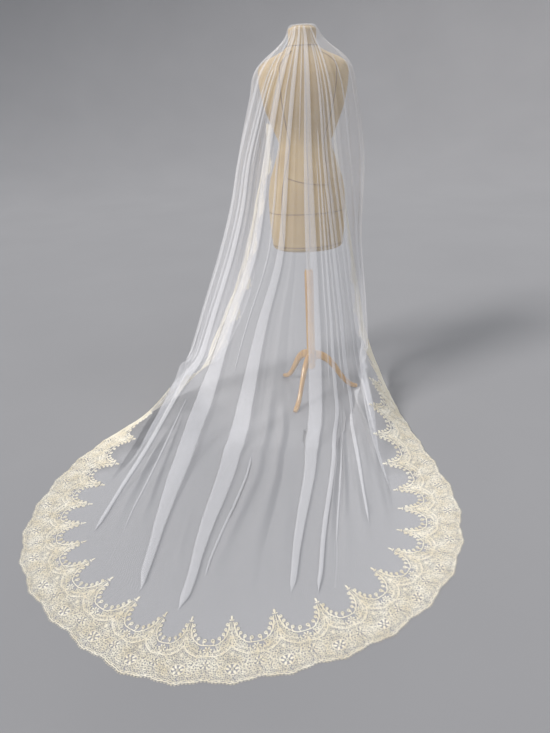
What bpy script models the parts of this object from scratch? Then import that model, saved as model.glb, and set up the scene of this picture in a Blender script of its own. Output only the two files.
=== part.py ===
"""A cathedral bridal veil with a lace border, laid over a limbless dress form on a tripod stand.

Metres, +Z up. The sizes below are given about the stand's axis, with the floor at z = 0: +X is the
right-hand side seen from behind the form, and -Y is behind it, where the train lies. The last step
moves everything so that the origin is the centre of the whole box on the floor.
"""
import math
from collections import namedtuple

import bpy
import numpy as np
from mathutils import Vector
from mathutils.geometry import tessellate_polygon

# Cloth
CLOTH = 0.0015              # wall of the tulle, and of the lace that is sewn on it
SEAM_GAP = 0.0003           # between neighbouring pieces
LACE_WIDTH = 0.23           # from the wavy outer edge to the line along which the lace ends
LACE_TIP = 0.22             # from that edge to the tips of the peaks
LACE_BODY = 0.115           # from the outer edge to the valleys between the peaks
SCALLOP = 0.005             # how far the outer edge waves in and out
HEM_REPEATS = 36            # lace repeats on the floor, between the two front edges
SIDE_REPEATS = 11           # lace repeats up each front edge
BARE_V = (0, 1, 1.9, 2.8, 3.65)   # the rows of the front edge above the lace
LACE_TOP_V = 4.5            # where the lace starts, in the same measure
SIDE_TURN = .6              # how soon the rows turn from a front edge's heights to the back's
BACK_ROWS_LAID = 11         # of all rows down the middle of the back, those that lie on the floor
PLEAT_RISE = 0.006          # between the layers of a pleat
WAVE = 0.008                # depth of the gathers that hang between the pleats

# Dress form and stand
TORSO_SIDES = 28
NECK_TOP = 1.660
CAP_THICK = 0.004
CAP_RADIUS = 0.0565
TORSO_BOTTOM = 0.763
ROD_RADIUS = 0.0085
POLE_RADIUS = 0.021
POLE_TOP = 0.655
POLE_BOTTOM = 0.150
FINIAL_BOTTOM = 0.128
LEG_ANGLES = (5, 125, 245)
LEG_SIDES = 8

Section = namedtuple("Section", "back left right line_left line_right edge_left edge_right")
# One row for each height of the hanging cloth, from the gathered top to where the back meets the
# floor. back, left and right are its rearmost, leftmost and rightmost points, line_* is where the
# lace peaks end on the front edges, and edge_* is the front edge itself.
SECTIONS = (
    Section((0, .030, 1.6651), (-.020, .034, 1.6651), (.020, .034, 1.6651),
            (-.030, .037, 1.6651), (.030, .037, 1.6651), (-.038, .038, 1.6651), (.038, .038, 1.6651)),
    Section((0, -.063, 1.6651), (-.063, .000, 1.6651), (.063, .000, 1.6651),
            (-.055, .036, 1.6651), (.055, .036, 1.6651), (-.044, .054, 1.6651), (.044, .054, 1.6651)),
    Section((0, -.078, 1.615), (-.084, -.004, 1.607), (.094, -.004, 1.610),
            (-.082, .048, 1.600), (.086, .048, 1.600), (-.074, .080, 1.600), (.076, .080, 1.600)),
    Section((0, -.130, 1.530), (-.196, -.012, 1.532), (.194, -.012, 1.538),
            (-.140, .100, 1.530), (.140, .100, 1.530), (-.110, .150, 1.530), (.110, .150, 1.530)),
    Section((0, -.155, 1.400), (-.229, .000, 1.400), (.224, .000, 1.400),
            (-.142, .150, 1.400), (.142, .150, 1.400), (-.150, .270, 1.400), (.150, .270, 1.400)),
    Section((0, -.172, 1.180), (-.294, .000, 1.180), (.253, .000, 1.180),
            (-.136, .130, 1.180), (.136, .130, 1.180), (-.172, .338, 1.180), (.176, .338, 1.180)),
    Section((0, -.195, .980), (-.342, .000, .980), (.252, .000, .980),
            (-.178, .136, .980), (.172, .136, .980), (-.222, .344, .980), (.208, .344, .980)),
    Section((0, -.225, .780), (-.408, .000, .780), (.247, .000, .780),
            (-.226, .110, .780), (.196, .130, .780), (-.276, .318, .780), (.238, .342, .780)),
    Section((-.005, -.275, .520), (-.510, .000, .520), (.268, .000, .520),
            (-.292, .080, .520), (.214, .100, .520), (-.366, .284, .520), (.276, .308, .520)),
    Section((-.015, -.335, .300), (-.588, -.020, .320), (.278, .000, .310),
            (-.405, .020, .300), (.236, .070, .310), (-.500, .205, .255), (.312, .255, .255)),
    Section((-.025, -.405, .120), (-.622, -.100, .255), (.260, -.055, .265),
            (-.480, -.035, .215), (.256, .035, .260), (-.575, .150, .110), (.346, .170, .120)),
    Section((-.040, -.520, CLOTH / 2), (-.632, -.200, .205), (.222, -.140, .228),
            (-.575, -.062, .205), (.264, -.020, .225), (-.662, .090, .040), (.372, .088, .045)),
)
TOUCH = len(SECTIONS) - 1   # the section whose back lies on the floor
LAID = TOUCH + 3            # the same measure at the lace line of the train

# Beside the two front edges the border doesn't lie flat: its peaks end this high on the cloth
LIFT_LEFT = .195
LIFT_RIGHT = .20
LIFT_SHARE = .19            # of the train's border, that is lifted at each end
LIFT_EDGE = .02             # how far its outer edge rises with it, as a share
EDGE_CLEAR = .003           # the least height of a front edge above the floor

# The wavy outer edge of the train on the floor, from the left front edge round to the right one
HEM_OUTLINE = (
    (-.720, .005), (-.860, -.190), (-1.005, -.390), (-1.110, -.610), (-1.155, -.850), (-1.130, -1.070),
    (-1.035, -1.265), (-.860, -1.450), (-.640, -1.605), (-.420, -1.648), (-.180, -1.625), (.060, -1.550),
    (.260, -1.405), (.400, -1.210), (.462, -.970), (.455, -.760), (.425, -.530), (.398, -.290),
    (.389, -.060),
)

Pleat = namedtuple("Pleat", "shoulder waist seat calf floor end_x end_y width first last")
# One row for each laid-over fold: its x at five sections, where its line meets the lace, its
# greatest width, and the measures at which it opens and closes
PLEATS = (
    Pleat(-.110, -.240, -.345, -.505, -.612, -.915, -1.000, .055, 9.0, 13.4),
    Pleat(-.075, -.165, -.250, -.400, -.510, -.690, -1.370, .090, 4.6, 13.8),
    Pleat(-.035, -.085, -.130, -.235, -.350, -.520, -1.425, .085, 3.6, 13.8),
    Pleat(-.002, -.002, .001, -.004, -.038, -.118, -1.420, .055, 3.4, 13.7),
    Pleat(.020, .030, .036, .050, .055, -.050, -1.400, .026, 9.5, 13.8),
    Pleat(.035, .055, .075, .110, .130, .095, -1.220, .030, 6.5, 13.0),
    Pleat(.060, .092, .145, .200, .190, .175, -.980, .030, 3.8, 12.6),
)
PLEAT_SECTIONS = (3, 5, 7, 9, TOUCH)
PleatPoint = namedtuple("PleatPoint", "ridge_across ridge_out fold_across fold_out")
# The three lines of a pleat, across in its widths and out in PLEAT_RISE: a low ridge where it opens
# and closes, and laid over to the left between
PLEAT_POINTS = (
    PleatPoint(-.5, 0, .5, .5),
    PleatPoint(0, 1, -.5, 1.5),
    PleatPoint(.5, 0, .62, 1.5),
)
PLEAT_ORDER = 1e-4          # keeps a pleat's three lines in order among the other columns
LAID_OVER = (.35, .75)      # the shares of its greatest width between which a ridge is laid over
PLEAT_ROOM_LEFT = .66       # how far a pleat moves the cloth beside it, in its own widths
PLEAT_ROOM_RIGHT = .80
ROOM_FADES = 3              # and over how many of its widths that fades away
PLEAT_CLOSED = .012         # a pleat narrower than this is left flat

TorsoRing = namedtuple("TorsoRing", "z half_width half_depth")
TORSO_RINGS = (
    TorsoRing(.763, .150, .104), TorsoRing(.778, .161, .112), TorsoRing(.850, .1685, .117),
    TorsoRing(1.000, .1715, .117), TorsoRing(1.070, .161, .112), TorsoRing(1.130, .1415, .104),
    TorsoRing(1.180, .1245, .097), TorsoRing(1.225, .1155, .094), TorsoRing(1.270, .1325, .098),
    TorsoRing(1.310, .1485, .106), TorsoRing(1.360, .1675, .116), TorsoRing(1.430, .183, .120),
    TorsoRing(1.490, .189, .112), TorsoRing(1.525, .182, .096), TorsoRing(1.548, .150, .080),
    TorsoRing(1.565, .108, .068), TorsoRing(1.582, .075, .061), TorsoRing(1.602, .059, .0575),
    TorsoRing(NECK_TOP, .0575, .0575),
)
LegRing = namedtuple("LegRing", "reach z half_width half_height tilt")
# Along one leg: the distance from the axis, the height, the half sizes and the slope in degrees
LEG_RINGS = (
    LegRing(POLE_RADIUS, .205, .011, .026, 0), LegRing(.050, .200, .012, .021, -22),
    LegRing(.085, .176, .012, .018, -42), LegRing(.115, .140, .011, .0155, -55),
    LegRing(.140, .100, .010, .0135, -58), LegRing(.166, .060, .010, .0125, -55),
    LegRing(.194, .028, .011, .012, -35), LegRing(.222, .0110, .012, .0112, 0),
    LegRing(.240, .0078, .010, .0080, 0),
)


def clear_objects():
    for old in list(bpy.data.objects):
        bpy.data.objects.remove(old, do_unlink=True)


def material(name, color, roughness):
    new = bpy.data.materials.new(name)
    new.use_nodes = True
    shader = new.node_tree.nodes["Principled BSDF"]
    shader.inputs["Base Color"].default_value = (*color, 1)
    shader.inputs["Roughness"].default_value = roughness
    shader.inputs["Metallic"].default_value = 0
    return new


def mesh_object(name, points, faces, finish, smooth=True):
    mesh = bpy.data.meshes.new(name)
    mesh.from_pydata([tuple(map(float, p)) for p in points], [], faces)
    mesh.materials.append(finish)
    if smooth:
        mesh.shade_smooth()
    obj = bpy.data.objects.new(name, mesh)
    bpy.context.collection.objects.link(obj)
    return obj


def loft(rings):
    """Points and faces of rings of equal counts, closed at both ends; rings turn anticlockwise."""
    sides = len(rings[0])
    points = [p for ring in rings for p in ring]
    faces = []
    for r in range(len(rings) - 1):
        for s in range(sides):
            after = (s + 1) % sides
            faces.append((r * sides + s, r * sides + after, (r + 1) * sides + after, (r + 1) * sides + s))
    faces.append(tuple(reversed(range(sides))))
    faces.append(tuple(range((len(rings) - 1) * sides, len(rings) * sides)))
    return points, faces


def ring(x, y, z, half_width, half_depth, sides):
    turns = [2 * math.pi * s / sides for s in range(sides)]
    return [(x + half_width * math.cos(a), y + half_depth * math.sin(a), z) for a in turns]


def turned(name, profile, sides, finish):
    """A round piece on the stand's axis, from (radius, z) pairs, bottom first."""
    rings = [ring(0, 0, z, radius, radius, sides) for radius, z in profile]
    return mesh_object(name, *loft(rings), finish)


def dress_form(cover, wood, steel):
    rings = [ring(0, 0, r.z, r.half_width, r.half_depth, TORSO_SIDES) for r in TORSO_RINGS]
    mesh_object("form_torso", *loft(rings), cover)
    cap_bottom = NECK_TOP + SEAM_GAP
    turned("form_cap", ((CAP_RADIUS, cap_bottom), (CAP_RADIUS, cap_bottom + CAP_THICK * .6),
                        (CAP_RADIUS - .0015, cap_bottom + CAP_THICK * .9)), TORSO_SIDES, cover)
    turned("form_rod", ((ROD_RADIUS, POLE_TOP + SEAM_GAP), (ROD_RADIUS, TORSO_BOTTOM - SEAM_GAP)), 16, steel)
    turned("form_pole", ((.008, FINIAL_BOTTOM), (POLE_RADIUS * .8, FINIAL_BOTTOM + .008),
                         (POLE_RADIUS, POLE_BOTTOM), (POLE_RADIUS, POLE_TOP - .012),
                         (POLE_RADIUS * .8, POLE_TOP)), 20, wood)
    for number, angle in enumerate(LEG_ANGLES, 1):
        leg(f"form_leg_{number}", math.radians(angle), wood)


def leg(name, angle, wood):
    """A curved leg that starts flat against the pole and ends on a flat foot."""
    along = np.array((math.cos(angle), math.sin(angle), 0))
    across = np.array((-math.sin(angle), math.cos(angle), 0))
    up = np.array((0, 0, 1.0))
    rings = []
    for r in LEG_RINGS:
        slope = math.radians(r.tilt)
        normal = up * math.cos(slope) - along * math.sin(slope)
        middle = along * (r.reach + SEAM_GAP) + up * r.z
        rings.append([])
        for s in range(LEG_SIDES):
            turn = 2 * math.pi * (s + .5) / LEG_SIDES
            side = across * r.half_width * math.cos(turn) / math.cos(math.pi / LEG_SIDES)
            rise = normal * r.half_height * math.sin(turn) / math.cos(math.pi / LEG_SIDES)
            point = middle + side + rise
            point[2] = max(point[2], 0)
            rings[-1].append(point)
    mesh_object(name, *loft(rings), wood)


def spline(values, t):
    """The curve through equally spaced values, at measures t."""
    values = np.asarray(values, float)
    t = np.clip(np.atleast_1d(np.asarray(t, float)), 0, len(values) - 1)
    k = np.minimum(t.astype(int), len(values) - 2)
    f = (t - k).reshape((-1,) + (1,) * (values.ndim - 1))
    before = values[np.maximum(k - 1, 0)]
    start, end = values[k], values[k + 1]
    after = values[np.minimum(k + 2, len(values) - 1)]
    return .5 * (2 * start + (end - before) * f + (2 * before - 5 * start + 4 * end - after) * f**2
                 + (3 * start - before - 3 * end + after) * f**3)


def ease(low, high, x):
    """0 up to low, 1 from high, and a soft step between them."""
    f = np.clip((np.asarray(x, float) - low) / (high - low), 0, 1)
    return f * f * (3 - 2 * f)


def spread(points, count):
    """Points equally far apart along a line of many points."""
    points = np.asarray(points)
    far = np.concatenate(([0], np.cumsum(np.linalg.norm(np.diff(points, axis=0), axis=1))))
    wanted = np.linspace(0, far[-1], count)
    return np.stack([np.interp(wanted, far, points[:, i]) for i in range(points.shape[1])], axis=1)


SIDE_SHARE = .2             # of a section's measure, from a lace line to the side
QUARTER = 24                # points along each quarter of a section
SOFT_BEND = .45             # how far the bend at the floor is rounded, in measures v
BACK_TURN = 1.1             # radians from the side to where a section is as low as the back
GRID_STEPS = 20             # rows for each unit of v, in the grid that holds the form
GRID_V = np.arange(LAID * GRID_STEPS + 1) / GRID_STEPS
GRID_T = np.linspace(0, 1, 241)
NEAR_T = .004               # either side of a point, for its directions
NEAR_V = .05


def quarter(side, middle, bulge=2.1):
    """From the side to the middle of the back: square to both, like a quarter of an oval."""
    turn = np.linspace(0, math.pi / 2, QUARTER)
    x = middle[0] + (side[0] - middle[0]) * np.cos(turn) ** (2 / bulge)
    y = side[1] + (middle[1] - side[1]) * np.sin(turn) ** (2 / bulge)
    z = side[2] + (middle[2] - side[2]) * ease(0, BACK_TURN, turn)
    return np.stack((x, y, z), axis=1)


def flank(line, side):
    """From a lace line round to the side, where the cloth runs straight back."""
    reach = side[1] - line[1]
    first = line + np.array((0, .15 * reach, 0)) + .45 * (side - line) * np.array((1, 0, 1))
    second = side - np.array((0, .55 * reach, 0))
    f = np.linspace(0, 1, QUARTER)[:, None]
    return (1 - f)**3 * line + 3 * (1 - f)**2 * f * first + 3 * (1 - f) * f * f * second + f**3 * side


class Drape:
    """The sheet's smooth form: u runs from the left lace line round to the right, v down and out."""

    def __init__(self):
        self.names = Section._fields
        self.table = np.array([[p for p in row] for row in SECTIONS], float)
        outline = spline(HEM_OUTLINE, np.linspace(0, len(HEM_OUTLINE) - 1, 400))
        self.hem = spread(outline, 4 * HEM_REPEATS + 1)
        along = np.gradient(self.hem, axis=0)
        inward = np.stack((-along[:, 1], along[:, 0]), axis=1)
        self.inward = inward / np.linalg.norm(inward, axis=1)[:, None]
        self.line_u = np.linspace(0, 1, len(self.hem))
        lift = (LIFT_LEFT * (1 - ease(0, LIFT_SHARE, self.line_u))
                + LIFT_RIGHT * ease(1 - LIFT_SHARE, 1, self.line_u))
        reach = np.sqrt(LACE_WIDTH**2 - lift**2)[:, None]
        self.line = np.column_stack((self.hem + reach * self.inward, CLOTH / 2 + lift))
        self.grid = self.softened(np.stack([self.row(v) for v in GRID_V]))
        self.pleat_u = [self.nearest_u(p.end_x, p.end_y) for p in PLEATS]
        self.pleat_t = [self.track(p, u) for p, u in zip(PLEATS, self.pleat_u)]

    def nearest_u(self, x, y):
        """The thread line that meets the lace nearest a point, midway between two plain columns."""
        gap = np.hypot(self.line[:, 0] - x, self.line[:, 1] - y)
        return (math.floor(self.line_u[int(np.argmin(gap))] * HEM_REPEATS) + .5) / HEM_REPEATS

    def section(self, v):
        """A section's points and their measures, from 0 at the left lace line to 1 at the right."""
        row = dict(zip(self.names, spline(self.table, v)[0]))
        parts = (flank(row["line_left"], row["left"]), quarter(row["left"], row["back"]),
                 quarter(row["right"], row["back"])[::-1], flank(row["line_right"], row["right"])[::-1])
        shares = (0, SIDE_SHARE, .5, 1 - SIDE_SHARE, 1)
        points = []
        measures = []
        for part, low, high in zip(parts, shares, shares[1:]):
            points.append(spread(part, QUARTER))
            measures.append(np.linspace(low, high, QUARTER))
        return np.concatenate(points), np.concatenate(measures)

    def row(self, v):
        """The form at one v, at every measure of the grid; past TOUCH it runs out to the lace line."""
        points, measures = self.section(min(v, TOUCH))
        held = np.stack([np.interp(GRID_T, measures, points[:, i]) for i in range(3)], axis=1)
        if v <= TOUCH:
            return held
        laid = np.stack([np.interp(GRID_T, self.line_u, self.line[:, i]) for i in range(3)], axis=1)
        share = (v - TOUCH) / (LAID - TOUCH)
        out = held + (laid - held) * share
        sag = 1 + ease(0, LIFT_SHARE, GRID_T) * ease(0, LIFT_SHARE, 1 - GRID_T)
        out[:, 2] = laid[:, 2] + (held[:, 2] - laid[:, 2]) * (1 - share)**sag
        return out

    def softened(self, grid):
        """The same form with its bend at the floor rounded."""
        near = ease(TOUCH - 1.6, TOUCH - .6, GRID_V) * (1 - ease(TOUCH + .6, TOUCH + 1.6, GRID_V))
        soft = grid.copy()
        for r, v in enumerate(GRID_V):
            reach = SOFT_BEND * near[r] * GRID_STEPS
            low, high = (grid_row(grid, np.clip(r + step, 0, len(GRID_V) - 1)) for step in (-reach, reach))
            soft[r] = (low + 2 * grid[r] + high) / 4
        return soft

    def track(self, pleat, end_u):
        """A pleat's measure at each whole v, from its x at the named sections."""
        found = []
        for section, x in zip(PLEAT_SECTIONS, (pleat.shoulder, pleat.waist, pleat.seat, pleat.calf,
                                               pleat.floor)):
            points, measures = self.section(section)
            behind = slice(QUARTER, 3 * QUARTER)
            found.append(np.interp(x, points[behind, 0], measures[behind]))
        stations = (0,) + PLEAT_SECTIONS + (LAID,)
        return np.interp(np.arange(LAID + 1), stations, (found[0], *found, end_u))

    def at(self, t, v):
        """The point of the form without its pleats and waves."""
        row = grid_row(self.grid, np.clip(v, 0, LAID) * GRID_STEPS)
        return np.array([np.interp(t, GRID_T, row[:, i]) for i in range(3)])

    def axes(self, t, v):
        """The directions along a section and out of the cloth, and the metres in one unit of t."""
        low, high = max(t - NEAR_T, 0), min(t + NEAR_T, 1)
        across = self.at(high, v) - self.at(low, v)
        down = self.at(t, v + NEAR_V) - self.at(t, v - NEAR_V)
        size = np.linalg.norm(across)
        out = np.cross(down, across)
        return across / size, out / np.linalg.norm(out), size / (high - low)

    def open_pleats(self, v):
        """Where each open pleat lies at v, how wide it is, and that width as a share of t."""
        found = []
        for pleat, marks in zip(PLEATS, self.pleat_t):
            width = pleat_width(pleat, v)
            if width > 0:
                centre = float(spline(marks, v)[0])
                found.append((pleat, centre, width / self.axes(centre, v)[2]))
        return found

    def measure(self, u, v, own=None):
        """Where the thread line u lies across the section v, moved aside by each pleat but its own."""
        known_u = [0, *self.pleat_u, 1]
        known_t = [0, *(float(spline(t, v)[0]) for t in self.pleat_t), 1]
        t = float(np.interp(u, known_u, known_t))
        ends = float(ease(0, .1, t) * ease(0, .1, 1 - t))
        moved = t
        for pleat, centre, share in self.open_pleats(v):
            if pleat is own:
                continue
            is_right = u > self.pleat_u[PLEATS.index(pleat)]
            room = PLEAT_ROOM_RIGHT if is_right else -PLEAT_ROOM_LEFT
            moved += ends * room * share * math.exp(-abs(t - centre) / (ROOM_FADES * share))
        return moved

    def wave(self, u, t, v):
        """How far the gathers push the cloth out: uneven, none at the lace lines, pleats or floor."""
        swing = math.cos(math.pi * HEM_REPEATS * u) * (.75 + .25 * math.sin(17 * u + 2))
        open_ends = float(ease(0, .05, u) * ease(0, .05, 1 - u))
        hanging = float(ease(2.2, 4.5, v) * (1 - ease(TOUCH - 1.5, TOUCH, v)))
        clear = 1
        for _, centre, share in self.open_pleats(v):
            clear *= float(ease(.7, 2.5, abs(t - centre) / share))
        return WAVE * swing * open_ends * hanging * clear


def grid_row(grid, place):
    """The row at a place between two rows of the grid."""
    low = min(int(place), len(grid) - 2)
    return grid[low] + (grid[low + 1] - grid[low]) * (place - low)


def pleat_width(pleat, v):
    opening = float(ease(pleat.first, pleat.first + 3, v))
    closing = 1 - float(ease(TOUCH + .5, pleat.last, v)) ** 1.5
    width = pleat.width * opening * closing if pleat.first < v < pleat.last else 0
    return width if width > PLEAT_CLOSED else 0


def pleat_place(point, share):
    """How far across and out one line of a pleat lies, where the pleat has that share of its width."""
    laid = float(ease(*LAID_OVER, share))
    across = point.ridge_across + (point.fold_across - point.ridge_across) * laid
    return across, point.ridge_out + (point.fold_out - point.ridge_out) * laid


class Mesher:
    """Collects the middle surface of one piece, then turns it into a wall."""

    def __init__(self):
        self.points = []
        self.faces = []
        self.fold_sides = {}

    def add(self, point):
        self.points.append(np.asarray(point, float))
        return len(self.points) - 1

    def set_fold(self, before, corner, after, sign):
        """At a fold the wall's outer side lies between the two layers (1) or away from them (-1)."""
        sides = [self.points[i] - self.points[corner] for i in (before, after)]
        self.fold_sides[corner] = sign * sum(side / np.linalg.norm(side) for side in sides)

    def face(self, *corners):
        kept = [c for i, c in enumerate(corners) if c != corners[i - 1]]
        if len(set(kept)) > 2:
            self.faces.append(tuple(kept))

    def quad(self, a, b, c, d):
        """Two triangles that meet on the shorter diagonal, so both sides of the wall bend alike."""
        p = self.points
        if np.linalg.norm(p[a] - p[c]) <= np.linalg.norm(p[b] - p[d]):
            self.face(a, b, c)
            self.face(a, c, d)
        else:
            self.face(a, b, d)
            self.face(b, c, d)

    def normals(self):
        """One outward direction for each point, weighted by the angles of the faces round it."""
        points = np.array(self.points)
        total = np.zeros_like(points)
        for face in self.faces:
            for before, corner, after in zip(face[-1:] + face[:-1], face, face[1:] + face[:1]):
                ahead, back = points[after] - points[corner], points[before] - points[corner]
                turn = np.cross(ahead, back)
                size = np.linalg.norm(turn)
                if size > 0:
                    total[corner] += turn / size * math.atan2(size, ahead @ back)
        for corner, side in self.fold_sides.items():
            total[corner] = side
        size = np.linalg.norm(total, axis=1)
        return total / np.where(size > 0, size, 1)[:, None]

    def wall(self, low, high):
        """Points and faces of the closed wall between two distances from the middle surface."""
        middle = np.array(self.points)
        normal = self.normals()
        inner = middle + normal * low
        inner[:, 2] = np.maximum(inner[:, 2], 0)
        return closed_wall(middle + normal * high, inner, self.faces)


def rows_down(drape, side):
    """The measures v of the rows where they leave one front edge, spaced as the lace repeats are."""
    v = np.linspace(0, TOUCH, 600)
    path = spline(drape.table[:, drape.names.index("edge_" + side)], v)
    corner = drape.hem[0 if side == "left" else -1]
    path = np.vstack((path, (*corner, CLOTH / 2)))
    v = np.append(v, LAID)
    far = np.concatenate(([0], np.cumsum(np.linalg.norm(np.diff(path, axis=0), axis=1))))
    first = float(np.interp(LACE_TOP_V, v, far))
    marks = np.concatenate((np.interp(BARE_V, v, far), np.linspace(first, far[-1], 2 * SIDE_REPEATS + 1)))
    return np.interp(marks, far, v), np.stack([np.interp(marks, far, path[:, i]) for i in range(3)], 1)


def back_rows(count):
    """The measures v of the rows down the middle of the back."""
    hanging = np.linspace(1, TOUCH, count - BACK_ROWS_LAID)
    return np.concatenate(([0], hanging, np.linspace(TOUCH, LAID, BACK_ROWS_LAID)[1:]))


def tulle(drape, net):
    """The panel, as one wall; it also returns the grid of the lace border."""
    mesh = Mesher()
    left_v, left_edge = rows_down(drape, "left")
    right_v, right_edge = rows_down(drape, "right")
    rows = len(left_v)
    back_v = back_rows(rows)
    columns = [(j / HEM_REPEATS, None) for j in range(HEM_REPEATS + 1)]
    for pleat, u in zip(PLEATS, drape.pleat_u):
        columns += [(u + PLEAT_ORDER * i, (pleat, u, i)) for i in range(len(PLEAT_POINTS))]
    columns.sort(key=lambda column: column[0])
    grid = []
    for r in range(rows):
        line = []
        for u, fold in columns:
            base_u = fold[1] if fold else u
            middle = math.sin(math.pi * base_u) ** SIDE_TURN if 0 < base_u < 1 else 0
            side_v = left_v[r] + (right_v[r] - left_v[r]) * base_u
            v = side_v + (back_v[r] - side_v) * middle
            t = drape.measure(base_u, v, fold and fold[0])
            if fold is None:
                _, out, _ = drape.axes(t, v)
                line.append(mesh.add(drape.at(t, v) + out * drape.wave(u, t, v)))
                continue
            pleat, _, i = fold
            width = pleat_width(pleat, v)
            if not width:
                line.append(line[-1] if i else mesh.add(drape.at(t, v)))
                continue
            scale = drape.axes(t, v)[2]
            shift, rise = pleat_place(PLEAT_POINTS[i], width / pleat.width)
            place = t + shift * width / scale
            _, out, _ = drape.axes(place, v)
            line.append(mesh.add(drape.at(place, v) + out * rise * PLEAT_RISE))
        grid.append(line)
        for c, (_, fold) in enumerate(columns):
            if fold and fold[2] == 0 and line[c] != line[c + 1]:
                mesh.set_fold(line[c - 1], line[c], line[c + 1], 1)
                mesh.set_fold(line[c], line[c + 1], line[c + 2], -1)
    for r in range(rows - 1):
        for c in range(len(columns) - 1):
            mesh.quad(grid[r][c], grid[r + 1][c], grid[r + 1][c + 1], grid[r][c + 1])
    plain = [c for c, (u, fold) in enumerate(columns) if fold is None]
    border = side_border(mesh, [line[0] for line in grid], left_edge)
    hem = hem_border(mesh, grid[-1], plain, drape, border[-1])
    right = side_border(mesh, [line[-1] for line in grid], right_edge, hem[-1])[::-1]
    side_faces(mesh, border)
    hem_faces(mesh, grid[-1], plain, hem)
    side_faces(mesh, right)
    points, faces = mesh.wall(-CLOTH / 2, CLOTH / 2)
    mesh_object("veil_tulle", points, faces, net, smooth=False)
    bare = len(BARE_V)
    return mesh, border[bare:] + hem[1:-1] + right[:len(right) - bare]


Station = namedtuple("Station", "inner middle outer is_peak")


def between(mesh, inner, outer):
    """The point of the border at the height of the lace valleys."""
    start, end = mesh.points[inner], np.asarray(outer)
    return mesh.add(end + (start - end) * (LACE_BODY / LACE_WIDTH))


def side_border(mesh, inner_line, edge, corner=None):
    """The stations down one front edge, from the top to the floor."""
    stations = []
    for r, inner in enumerate(inner_line):
        is_peak = (len(inner_line) - 1 - r) % 2 == 0
        if corner and r == len(inner_line) - 1:
            stations.append(corner)
            continue
        inward = mesh.points[inner] - edge[r]
        inward /= np.linalg.norm(inward)
        outer = edge[r] + inward * (-SCALLOP if is_peak else SCALLOP) * float(ease(0, len(BARE_V), r))
        outer[2] = max(outer[2], EDGE_CLEAR)
        stations.append(Station(inner, between(mesh, inner, outer), mesh.add(outer), is_peak))
    return stations


def hem_border(mesh, inner_line, plain, drape, corner):
    """The stations round the train; only those at a peak have a point on the lace line."""
    stations = [corner]
    for s in range(1, 2 * HEM_REPEATS + 1):
        is_peak = s % 2 == 0
        i = 2 * s
        wave_in = -SCALLOP if is_peak else SCALLOP
        height = CLOTH / 2 + LIFT_EDGE * (drape.line[i][2] - CLOTH / 2)
        outer = np.append(drape.hem[i] + drape.inward[i] * wave_in, height)
        middle = outer + (drape.line[i] - outer) * (LACE_BODY / LACE_WIDTH)
        inner = inner_line[plain[s // 2]] if is_peak else None
        stations.append(Station(inner, mesh.add(middle), mesh.add(outer), is_peak))
    return stations


def lower_faces(mesh, a, b):
    """Between the valleys' height and the outer edge: two faces that meet on a fixed diagonal."""
    if a.is_peak:
        mesh.face(a.outer, b.outer, a.middle)
        mesh.face(b.outer, b.middle, a.middle)
    else:
        mesh.face(a.outer, b.outer, b.middle)
        mesh.face(a.outer, b.middle, a.middle)


def side_faces(mesh, stations):
    for a, b in zip(stations, stations[1:]):
        lower_faces(mesh, a, b)
        if a.is_peak:
            mesh.face(a.middle, b.middle, a.inner)
            mesh.face(b.middle, b.inner, a.inner)
        else:
            mesh.face(a.middle, b.middle, b.inner)
            mesh.face(a.middle, b.inner, a.inner)


def hem_faces(mesh, inner_line, plain, stations):
    for a, b in zip(stations, stations[1:]):
        lower_faces(mesh, a, b)
        if a.is_peak:
            mesh.face(a.middle, b.middle, a.inner)
        else:
            mesh.face(a.middle, b.middle, b.inner)
    for j, (low, high) in enumerate(zip(plain, plain[1:])):
        valley = stations[2 * j + 1].middle
        for c in range(low, high):
            mesh.face(valley, inner_line[c + 1], inner_line[c])


VALLEY = LACE_BODY / LACE_WIDTH
TIP = LACE_TIP / LACE_WIDTH
# Half of one lace repeat: a runs from the peak's axis to the valley, b from the outer edge inwards.
# Each facet is a triangle of the tulle under it, with the loop that the lace fills and its gaps.
Facet = namedtuple("Facet", "corners outline gaps")
GAP_SHARE = .27             # of its facet, for the gap beside each valley
LACE_FACETS = (
    Facet(("peak outer", "valley outer", "peak middle"), ((0, 0), (1, 0), (0, VALLEY)), ()),
    Facet(("valley outer", "valley middle", "peak middle"), ((1, 0), (1, VALLEY), (0, VALLEY)), (GAP_SHARE,)),
    Facet(("peak middle", "valley middle", "peak inner"),
          ((0, VALLEY), (1, VALLEY), (.50, .585), (.27, .705), (.17, .845), (0, TIP), (0, .76), (.13, .69),
           (0, .62)), ()),
)
LACE_PLACES = {"peak outer": (0, 0), "valley outer": (1, 0), "peak middle": (0, VALLEY),
               "valley middle": (1, VALLEY), "peak inner": (0, 1)}


def facet_pattern(facet):
    """A facet's lace as shares of its three corners, and the faces between these."""
    corners = np.array([LACE_PLACES[name] for name in facet.corners], float)
    loops = [[np.array(p, float) for p in facet.outline]]
    centre = corners.mean(axis=0)
    loops += [[centre + share * (c - centre) for c in corners] for share in facet.gaps]
    drawn = [[Vector((*p, 0)) for p in loop] for loop in loops]
    faces = tessellate_polygon(drawn)
    places = [p for loop in loops for p in loop]
    basis = np.vstack((corners.T, np.ones(3)))
    shares = [np.linalg.solve(basis, np.append(p, 1)) for p in places]
    kept = []
    for face in faces:
        a, b, c = (places[i] for i in face)
        turn = (b[0] - a[0]) * (c[1] - a[1]) - (b[1] - a[1]) * (c[0] - a[0])
        kept.append(tuple(face) if turn > 0 else tuple(reversed(face)))
    return shares, kept


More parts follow.
